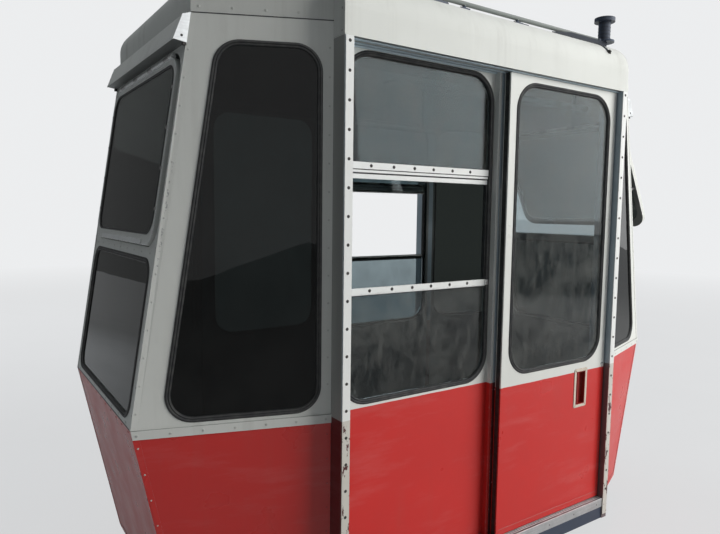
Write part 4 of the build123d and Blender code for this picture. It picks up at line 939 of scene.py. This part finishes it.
# Roof
def make_roof():
    """Seams, rivets, pads and bolts of the roof and its rails, and end plates of the headers."""
    seams, rivets, pads, bolts = (Stock() for _ in range(4))
    proud = ROOF_FLAT + 1.4
    for x, half in ((430, 548), (792, 530)):
        seams.block(x - 17, x + 17, -half, half, ROOF_FLAT - 0.3, proud, 0.5)
        for k, dx in product(range(11), (-9, 9)):
            rivets.rivets([facing(x + dx, -half + 24 + k * (half - 24) / 5, proud)], 4.0, 1.5)
    for y in (-200, 200):
        seams.block(809, 1074, y - 15, y + 15, ROOF_FLAT - 0.3, ROOF_FLAT + 1.2, 0.5)
        rivets.rivets([facing(x, y, ROOF_FLAT + 1.2) for x in evenly(830, 55, 5)], 4.0, 1.5)
    seams.piece("roof_seams", "roof_paint", BOTH_ENDS, slot="white_paint")
    # pads under the ends of the saddle's channels
    for y in (-CHANNEL_END_Y, CHANNEL_END_Y):
        pads.block(CHANNEL_X - 58, CHANNEL_X + 58, y - 34, y + 34, ROOF_FLAT - 0.3, ROOF_FLAT + 6, 1.2)
        feet = product((CHANNEL_X - 49, CHANNEL_X + 49), (y - 22, y + 22))
        bolts.bolts([facing(px, py, ROOF_FLAT + 6) for px, py in feet], 11, 5)
        bolts.bolts([facing(CHANNEL_X, py, CHANNEL_TOP) for py in (y - 2, y * 0.42)], 22, 10)
    pads.piece("channel_pads", "dark_paint", BOTH_ENDS)
    rivets.piece("roof_rivets", "wall_rivet", BOTH_ENDS, slot="white_paint", sharp=60)
    # an end plate that closes each header, with its screws
    end = plane((-HALF_L, 0, 0), (0, -1, 0), (0, 0, 1))
    turns = [radians(a) for a in range(0, 61, 6)]
    arc = [(SHOULDER_Y + 127.5 * cos(a), SHOULDER_Z + 127.5 * sin(a)) for a in turns]
    s = Stock().prism([(661, HEAD + 3), (723.5, HEAD + 3)] + arc, end, -0.3, 1.5, 0.5)
    s.piece("header_ends", "white_paint", ALL_FOUR)
    spots = ((712, HEAD + 14), (712, HEAD + 84), (674, HEAD + 168))
    s = Stock().screws([at(end, x, z, 1.5, x + z) for x, z in spots], 3.6, 1.3)
    s.piece("header_screws", "steel", ALL_FOUR)
    # bolts in the feet of the rails' stanchions, and a nut on each roller's pin
    feet = product((136, 164, 586, 614), (-RAIL_Y, RAIL_Y))
    bolts.bolts([facing(x, y, ROOF_TOP + 5) for x, y in feet], 8, 4.5)
    for y in (-RAIL_Y, RAIL_Y):
        bolts.bolts([facing(ROLLER_X, y, RAIL_Z + 109)], 18, 5.5, washer=False)
        bolts.bolts([facing(ROLLER_X - 40, y, RAIL_Z + 4)], 9, 4)
    bolts.piece("roof_bolts", "steel", BOTH_ENDS)
    # pointed bars under the rails' ends, and the straps that hold them to the headers
    low, high = RAIL_Z - 25, RAIL_Z - 4
    outline = [(-738, low), (-352, low), (-352, low + 3), (-478, high), (-738, high)]
    s = Stock().prism(outline, upright(-RAIL_Y - 18), -3, 3, 0.8)
    x, rings = -648, []
    for a in range(76, 30, -3):
        c, h = cos(radians(a)), sin(radians(a))
        outline = rectangle(-7, 7, 129.8, 133)
        rings.append([(x + dx, -SHOULDER_Y - r * c, SHOULDER_Z + r * h) for dx, r in outline])
    # bars and straps take the gear's paint darkened as painted shade
    s.loft(rings).piece("rail_bars", "bar_paint", ALL_FOUR, slot="dark_paint")
    c, h = cos(radians(35)), sin(radians(35))
    place = plane((x, -SHOULDER_Y - 133 * c, SHOULDER_Z + 133 * h), (1, 0, 0), (0, h, c))
    Stock().bolts([place], 13, 6).piece("rail_bar_bolts", "rivet", ALL_FOUR, slot="steel")
    bay_strip(EAVES + 1.6, EAVES - 1.6, 0, 0, 0.0, 0.9).piece("eaves_sealant", "rubber", ALL_FOUR)


def make_rollers():
    """Bearing rings and bolts on top of the guide rollers, and their rubber rings, turning with them."""
    bearing = [(-3, -0.3), (-3, 1.0), (-2.2, 1.4), (2.2, 1.4), (3, 1.0), (3, -0.3)]
    ring = [(-1.0, -0.5), (-1.0, 0.9), (0.6, 1.3), (0.6, -0.5)]
    for (sx, end), (sy, side) in product(((-1, "rear"), (1, "front")), ((-1, "right"), (1, "left"))):
        x, y, name = sx * ROLLER_X, sy * RAIL_Y, f"{end}_{side}"
        top = facing(x, y, RAIL_Z + 107)
        s = Stock().band(circle(19, 32), top, bearing)
        s.bolts(around(top, 33, [pi / 4 + k * pi / 2 for k in range(4)]), 8, 3.5, washer=False)
        s.piece(f"roller_top_{name}", "steel", body="guide_roller_" + name)
        s = Stock()
        for z in evenly(15, 16, 5):
            s.band(circle(27, 40), facing(x, y, RAIL_Z + z), ring)
        s.piece(f"roller_rings_{name}", "rubber", body="guide_roller_" + name)


# Hanger and carriage
def make_hanger():
    """Bolts, nuts, weld beads and the grease nipple of the saddle and the hanger."""
    s = Stock()
    for x, y in product((-74, 74), (-88, 88)):
        under = facing(x, y, HEAD_LOW, "down")
        s.bolts([facing(x, y, FOOT_TOP)], 24, 12).bolts([under], 24, 14)
        s.lathe([(7.2, 1), (7.2, 26), (5.04, 27.2), (0, 27.2)], under, 12)
    s.bolts([facing(0, 232, PIN_Z, "side")], 58, 16, washer=False)
    s.piece("hanger_bolts", "steel")
    foot = rounded(rectangle(-49, 49, -36, 36), 12, 4)
    s = Stock().tube([(x, y, FOOT_TOP + 1) for x, y in foot], 5.5, 8, closed=True)
    for sy in (-1, 1):
        for sx in (-1, 1):
            s.tube([(sx * x, sy * 7, FOOT_TOP + 1) for x in (50, 93)], 3.5, 8)
            for y in (sy * CHEEK_Y - 9, sy * CHEEK_Y + 9):
                s.tube([(sx * x, y, CHANNEL_TOP) for x in (CHANNEL_X - 38, CHANNEL_X + 29)], 4, 8)
        s.tube([(x, sy * (CHEEK_Y - 9), HEAD_LOW) for x in (-92, 92)], 4, 8)
    s.piece("hanger_welds", "dark_paint")
    Stock().nipple(facing(0, 186, PIN_Z + 62)).piece("hanger_nipple", "steel")


def make_carriage():
    """Nuts, keepers and nipples of the beam, axle nuts of the rockers and fittings of the sheaves."""
    s = Stock()
    for x, y in product((-ROCKER_X, ROCKER_X), (-72, 72)):
        place = facing(x, y, ROCKER_Z, "side")
        s.bolts([place], 38, 12).tube([place @ Vector((v, 0, 8)) for v in (-27, 27)], 2.2, 8)
    s.bolts([facing(x, y, ROCKER_Z + 85, "side") for x, y in product((-110, 110), (-62, 62))], 22, 9)
    s.bolts([facing(x, y, z, "side") for x, z, y in product((-440, 440), (228, 262), (72, -62))], 15, 7)
    s.bolts([facing(x, -70, PIN_Z + 56, "side") for x in (-24, 24)], 12, 6)
    s.piece("carriage_bolts", "steel", body="carriage")
    s = Stock().block(-40, 40, PIN_Z + 42, PIN_Z + 70, -0.4, 8, 1.5, facing(0, -62, 0, "side"))
    s.band(circle(48, 40), facing(0, 62, PIN_Z, "side"), [(-5, -0.5), (-4, 3), (0, 5.5), (1, 5.5), (1, -0.5)])
    s.piece("carriage_welds", "dark_paint", body="carriage")
    s = Stock()
    for x in (-ROCKER_X, ROCKER_X):
        s.nipple(facing(x, -85, ROCKER_Z, "side"))
    s.piece("carriage_nipples", "steel", body="carriage")
    # collars on the haul rope's sockets
    s = Stock()
    for sx, (x, r) in product((-1, 1), ((690, 34.5), (720, 31.8), (780, 24.5))):
        place = plane((sx * x, 67, -95), (0, 0, 1), (0, -sx, 0))
        s.band(circle(r, 32), place, [(-2.4, -7), (-3, -5), (-3, 5), (-2.4, 7), (1.5, 7), (1.5, -7)])
    s.piece("socket_collars", "steel", body="carriage")
    for end, xs in (("rear", AXLE_X[:2]), ("front", AXLE_X[2:])):
        s = Stock()
        for x, y in product(xs, (-44, 44)):
            place = facing(x, y, AXLE_Z, "side")
            if abs(x) > ROCKER_X:
                s.bolts([place], 30, 7)
            else:
                s.band(circle(24, 32), place, [(-4, -0.4), (-4, 0.8), (4, 0.8), (4, -0.4)])
        s.piece(f"axle_nuts_{end}", "steel", body=f"rocker_{end}")
    for i, x in enumerate(AXLE_X, 1):
        s, liner = Stock(), Stock()
        for y in (-7, 7):
            place = facing(x, y, AXLE_Z, "side")
            s.bolts(around(place, RIM_BOLTS, [(k + 0.5) * pi / 5 for k in range(10)]), 9, 5)
        for y in (-26, 26):
            place = facing(x, y, AXLE_Z, "side")
            s.screws(around(place, HUB_SCREWS, [k * pi / 3 for k in range(6)], turned=True), 3.2, 1.2)
            liner.band(circle(GROOVE, 72), place, [(-9, -0.3), (-9, 0.7), (9, 0.7), (9, -0.3)])
        s.piece(f"sheave_bolts_{i}", "steel", body=f"sheave_{i}")
        liner.piece(f"sheave_liner_{i}", "rubber", body=f"sheave_{i}")


# Inside and underneath
LOZENGE = [(-13, 0), (-6, -3.2), (6, -3.2), (13, 0), (6, 3.2), (-6, 3.2)]
LOZENGE_PITCH = 46.0


def make_inside():
    """Raised lozenges of the floor plate, ribs of the ceiling and flanges of the handrails."""
    s = Stock()
    for i, j in product(range(-24, 25), range(-13, 14)):
        x, y = i * LOZENGE_PITCH, j * LOZENGE_PITCH
        room = 620 if abs(x) < HALF_L - 20 else BAY_Y - 60 - (abs(x) - HALF_L) * tan(bay_turn(FLOOR))
        if abs(y) < room and abs(x) < 1150:
            turn = pi / 4 if (i + j) % 2 else -pi / 4
            s.prism(LOZENGE, facing(x, y, FLOOR) @ Matrix.Rotation(turn, 4, "Z"), -0.2, 1.4, 0.6)
    s.piece("floor_lozenges", "floor")
    s = Stock()
    rib = [(-30, 0.3), (-30, -1.5), (-16, -1.5), (-13, -14), (13, -14), (16, -1.5), (30, -1.5), (30, 0.3)]
    for x in (-760, -310, 310, 760):
        s.prism([(x + dx, CEILING + dz) for dx, dz in rib], upright(0), -520, 520)
    s.piece("ceiling_ribs", "lining_paint", slot="grey_paint")
    s = Stock()
    for x, y in product((-620, 0, 620), (-GRAB_RAIL_Y, GRAB_RAIL_Y)):
        place = facing(x, y, CEILING, "down")
        s.lathe([(27, -0.4), (27, 2.4), (25.5, 3.4), (14, 3.4), (12, 7), (10.2, 8)], place, 28)
        s.screws(around(place, 20, [k * 2 * pi / 3 for k in range(3)], 3.4, turned=True), 3, 1.3)
    for x, y in product((-710, 710), (-GRAB_RAIL_Y, GRAB_RAIL_Y)):
        way = plane((x, y, HEAD - 60), (0, 0, 1), (0, -1 if x > 0 else 1, 0))
        s.lathe([(14.2, -10), (14.2, 0.5), (12, 3), (0, 3.6)], way, 24)
    s.piece("handrail_flanges", "steel")


def make_underframe():
    """Bolts and corner plates where the cross beams meet the long beams."""
    bolts, plates, low = Stock(), Stock(), SKIRT + 15.5
    for x, y, dy in product((210, 620, 1050), (-300, 300), (-55, 55)):
        plates.block(x - 34, x + 34, y + dy - 26, y + dy + 26, low, low + 4.8, 1)
        bolts.bolts([facing(x + dx, y + dy, low, "down") for dx in (-24, 24)], 13, 6)
    bolts.piece("underframe_bolts", "steel", BOTH_ENDS)
    plates.piece("underframe_plates", "dark_paint", BOTH_ENDS)


# Stage
CAMERA_AT = (-1.83617, -2.39773, -3.12911)
CAMERA_TURN = (34.173, 5.256, -0.711)      # degrees: heading from +Y towards +X, down, roll
CAMERA_FOCUS, PICTURE_W = 606.57, 720      # pixels
SENSOR = 36
BACKDROP = (0.84, 0.85, 0.86, 1)
SOFTBOX = (0.61, -0.64, 0.47)              # where panes and metal mirror the softbox


def make_stage(s):
    """Camera, soft lights, pale floor and backdrop."""
    scene = bpy.context.scene
    yaw, pitch, roll = (radians(a) for a in CAMERA_TURN)
    ahead = Vector((sin(yaw) * cos(pitch), cos(yaw) * cos(pitch), -sin(pitch)))
    right = Vector((cos(yaw), -sin(yaw), 0))
    down = ahead.cross(right)
    right, down = cos(roll) * right + sin(roll) * down, -sin(roll) * right + cos(roll) * down
    cam = bpy.data.objects.new("camera", bpy.data.cameras.new("camera"))
    scene.collection.objects.link(cam)
    m = Matrix((right, -down, -ahead)).transposed().to_4x4()
    m.translation = Vector(CAMERA_AT)
    cam.matrix_world = m
    cam.data.sensor_width = SENSOR
    cam.data.lens = SENSOR * CAMERA_FOCUS / PICTURE_W
    cam.data.clip_start, cam.data.clip_end = 0.05, 200
    scene.camera = cam

    world = bpy.data.worlds.new("studio")
    scene.world = world
    sky = Nodes(world)
    path = sky.node("ShaderNodeLightPath").outputs
    shown, mirrored, fill = (sky.node("ShaderNodeBackground") for _ in range(3))
    shown.inputs["Color"].default_value = BACKDROP
    mirrored.inputs["Color"].default_value = BACKDROP
    fill.inputs["Color"].default_value = (0.88, 0.95, 1.0, 1)
    fill.inputs["Strength"].default_value = s.fill
    way = sky.dot(sky.node("ShaderNodeTexCoord").outputs["Generated"], SOFTBOX)
    glow = sky.node("ShaderNodeMath", operation="ADD")
    sky.put(sky.band(way, -0.4, 0.5, 0.12, 1.0, smooth=True), glow.inputs[0])
    sky.put(sky.band(way, 0.70, 0.98, 0.0, s.softbox, smooth=True), glow.inputs[1])
    sky.put(glow.outputs[0], mirrored.inputs["Strength"])
    lit = sky.blend(path["Is Glossy Ray"], fill.outputs[0], mirrored.outputs[0])
    seen = sky.maths("MAXIMUM", path["Is Camera Ray"], path["Is Transmission Ray"])
    sky.link(sky.blend(seen, lit, shown.outputs[0]), sky.node("ShaderNodeOutputWorld").inputs["Surface"])

    for name, place, size, power, colour in (
            ("key", (6.7, -6.5, -0.4), 6.0, s.key, (1.0, 0.98, 0.95)),
            ("back", (-2.0, 7.5, 0.6), 5.0, s.back, (0.94, 0.97, 1.0)),
            ("top", (0.6, 0.4, 3.4), 4.0, s.top, (1.0, 1.0, 1.0))):
        lamp = bpy.data.lights.new(name, "AREA")
        lamp.shape, lamp.size, lamp.energy, lamp.color = "SQUARE", size, power, colour
        o = bpy.data.objects.new(name, lamp)
        scene.collection.objects.link(o)
        o.location = place
        o.rotation_euler = (Vector((0, 0, -3.4)) - Vector(place)).to_track_quat("-Z", "Y").to_euler()
        o.visible_glossy = False

    # the floor fades into the backdrop for the camera, far out and through glass
    f = plain("studio_floor", (1.5, 3), (0.3, 0.7), ((0.46, 0.47, 0.48), (0.42, 0.43, 0.44)),
              (60, 3, 0.0005, 0.2), rough=0.8)
    glow = f.node("ShaderNodeEmission")
    glow.inputs["Color"].default_value = BACKDROP
    length = f.node("ShaderNodeVectorMath", operation="LENGTH")
    f.link(f.coord, length.inputs[0])
    far = f.band(length.outputs["Value"], 3.0, 16.0, 0.72, 1.0)
    path = f.node("ShaderNodeLightPath").outputs
    mirrored = f.maths("MULTIPLY", path["Is Glossy Ray"], 0.22)
    mirrored = f.maths("MAXIMUM", mirrored, path["Is Transmission Ray"])
    amount = f.maths("MULTIPLY", f.maths("MAXIMUM", path["Is Camera Ray"], mirrored), far)
    f.link(f.blend(amount, f.shader.outputs[0], glow.outputs[0]), f.output.inputs["Surface"])
    bm = bmesh.new()
    bmesh.ops.create_grid(bm, x_segments=4, y_segments=4, size=40)
    mesh = bpy.data.meshes.new("studio_floor")
    bm.to_mesh(mesh)
    bm.free()
    floor = bpy.data.objects.new("studio_floor", mesh)
    floor.location = (0, 0, SKIRT / 1000 - 0.12)
    mesh.materials.append(finish_called("studio_floor"))
    scene.collection.objects.link(floor)
    scene.view_settings.view_transform = "Standard"


# The add-on
class CabinColours(bpy.types.PropertyGroup):
    cream: FloatVectorProperty(name="Cream", description="Paint above the waist", subtype="COLOR",
                               default=(0.70, 0.72, 0.69), min=0, max=1)
    red: FloatVectorProperty(name="Red", description="Paint below the waist", subtype="COLOR",
                             default=(0.58, 0.022, 0.018), min=0, max=1)
    # grey paint of the walls inside, darkened as painted shade of the closed cabin
    lining: FloatVectorProperty(name="Lining", description="Paint of the walls inside", subtype="COLOR",
                                default=(0.16, 0.17, 0.165), min=0, max=1)
    soffit: FloatVectorProperty(name="Soffit", description="Paint under the header", subtype="COLOR",
                                default=(0.52, 0.63, 0.69), min=0, max=1)
    post: FloatVectorProperty(name="Posts", description="Paint of the door posts above the waist",
                              subtype="COLOR", default=(0.38, 0.47, 0.53), min=0, max=1)
    maroon: FloatVectorProperty(name="Maroon", description="Paint of the door posts below the waist",
                                subtype="COLOR", default=(0.11, 0.012, 0.014), min=0, max=1)
    gear: FloatVectorProperty(name="Gear", description="Paint of brackets, hanger and carriage",
                              subtype="COLOR", default=(0.034, 0.048, 0.078), min=0, max=1)
    rail: FloatVectorProperty(name="Rails", description="Paint of the bars along the roof",
                              subtype="COLOR", default=(0.20, 0.22, 0.21), min=0, max=1)


class CabinStage(bpy.types.PropertyGroup):
    key: FloatProperty(name="Key", description="Power of the soft key light", default=1100.0,
                       min=0, unit="POWER")
    back: FloatProperty(name="Back", description="Power of the light on the far side", default=260.0,
                        min=0, unit="POWER")
    top: FloatProperty(name="Top", description="Power of the light over the carriage", default=80.0,
                       min=0, unit="POWER")
    fill: FloatProperty(name="Fill", description="Light from all round", default=0.10, min=0, max=2)
    softbox: FloatProperty(name="Softbox", description="Brightness of the mirrored softbox", default=1.5,
                           min=0, max=20)


class CABIN_OT_finishes(bpy.types.Operator):
    """Make the finishes and put them on the cabin's frame"""
    bl_idname = "ropeway_cabin.finishes"
    bl_label = "Finishes"

    def execute(self, context):
        make_finishes(context.scene.cabin_colours)
        dress_frame()
        return {"FINISHED"}


class CABIN_OT_rubbers(bpy.types.Operator):
    """Run the window rubbers round every pane"""
    bl_idname = "ropeway_cabin.rubbers"
    bl_label = "Window rubbers"

    def execute(self, context):
        make_rubbers()
        return {"FINISHED"}


class CABIN_OT_rivets(bpy.types.Operator):
    """Set the rivets of strips, bars and mouldings"""
    bl_idname = "ropeway_cabin.rivets"
    bl_label = "Rivets"

    def execute(self, context):
        make_rivets()
        return {"FINISHED"}


class CABIN_OT_doors(bpy.types.Operator):
    """Fit the sliding leaves' rubbers and pulls, and the door frames' channels, seals and sills"""
    bl_idname = "ropeway_cabin.doors"
    bl_label = "Doors"

    def execute(self, context):
        make_sliding_doors()
        make_door_frames()
        return {"FINISHED"}


class CABIN_OT_ends(bpy.types.Operator):
    """Fit the ends' corner strips, visor plates and hopper hardware"""
    bl_idname = "ropeway_cabin.ends"
    bl_label = "Ends"

    def execute(self, context):
        make_corners()
        make_hoppers()
        make_visors()
        make_hems()
        return {"FINISHED"}


class CABIN_OT_roof(bpy.types.Operator):
    """Fit the roof's seams, pads, bolts and roller tops"""
    bl_idname = "ropeway_cabin.roof"
    bl_label = "Roof"

    def execute(self, context):
        make_roof()
        make_rollers()
        return {"FINISHED"}


class CABIN_OT_gear(bpy.types.Operator):
    """Fit the nuts, bolts, welds and nipples of the hanger and the carriage"""
    bl_idname = "ropeway_cabin.gear"
    bl_label = "Hanger and carriage"

    def execute(self, context):
        make_hanger()
        make_carriage()
        return {"FINISHED"}


class CABIN_OT_inside(bpy.types.Operator):
    """Fit the floor, ceiling and handrail details, and the underframe's bolts"""
    bl_idname = "ropeway_cabin.inside"
    bl_label = "Inside and underframe"

    def execute(self, context):
        make_inside()
        make_underframe()
        return {"FINISHED"}


class CABIN_OT_stage(bpy.types.Operator):
    """Set the camera, the lights and the floor"""
    bl_idname = "ropeway_cabin.stage"
    bl_label = "Stage"

    def execute(self, context):
        make_stage(context.scene.cabin_stage)
        return {"FINISHED"}


STEPS = (CABIN_OT_stage, CABIN_OT_finishes, CABIN_OT_rubbers, CABIN_OT_rivets, CABIN_OT_doors, CABIN_OT_ends,
         CABIN_OT_roof, CABIN_OT_gear, CABIN_OT_inside)


class CABIN_PT_panel(bpy.types.Panel):
    """The steps that dress the cabin, and its colours"""
    bl_label = "Ropeway Cabin"
    bl_idname = "CABIN_PT_panel"
    bl_space_type = "VIEW_3D"
    bl_region_type = "UI"
    bl_category = "Ropeway Cabin"

    def draw(self, context):
        for step in STEPS:
            self.layout.operator(step.bl_idname)
        for group in (context.scene.cabin_colours, context.scene.cabin_stage):
            for key in group.bl_rna.properties.keys():
                if key not in ("rna_type", "name"):
                    self.layout.prop(group, key)


CLASSES = (CabinColours, CabinStage, *STEPS, CABIN_PT_panel)


def register():
    for c in CLASSES:
        bpy.utils.register_class(c)
    bpy.types.Scene.cabin_colours = PointerProperty(type=CabinColours)
    bpy.types.Scene.cabin_stage = PointerProperty(type=CabinStage)


def unregister():
    del bpy.types.Scene.cabin_colours, bpy.types.Scene.cabin_stage
    for c in reversed(CLASSES):
        bpy.utils.unregister_class(c)


def main():
    register()
    for step in STEPS:
        group, name = step.bl_idname.split(".")
        getattr(getattr(bpy.ops, group), name)()


if __name__ == "__main__":
    main()
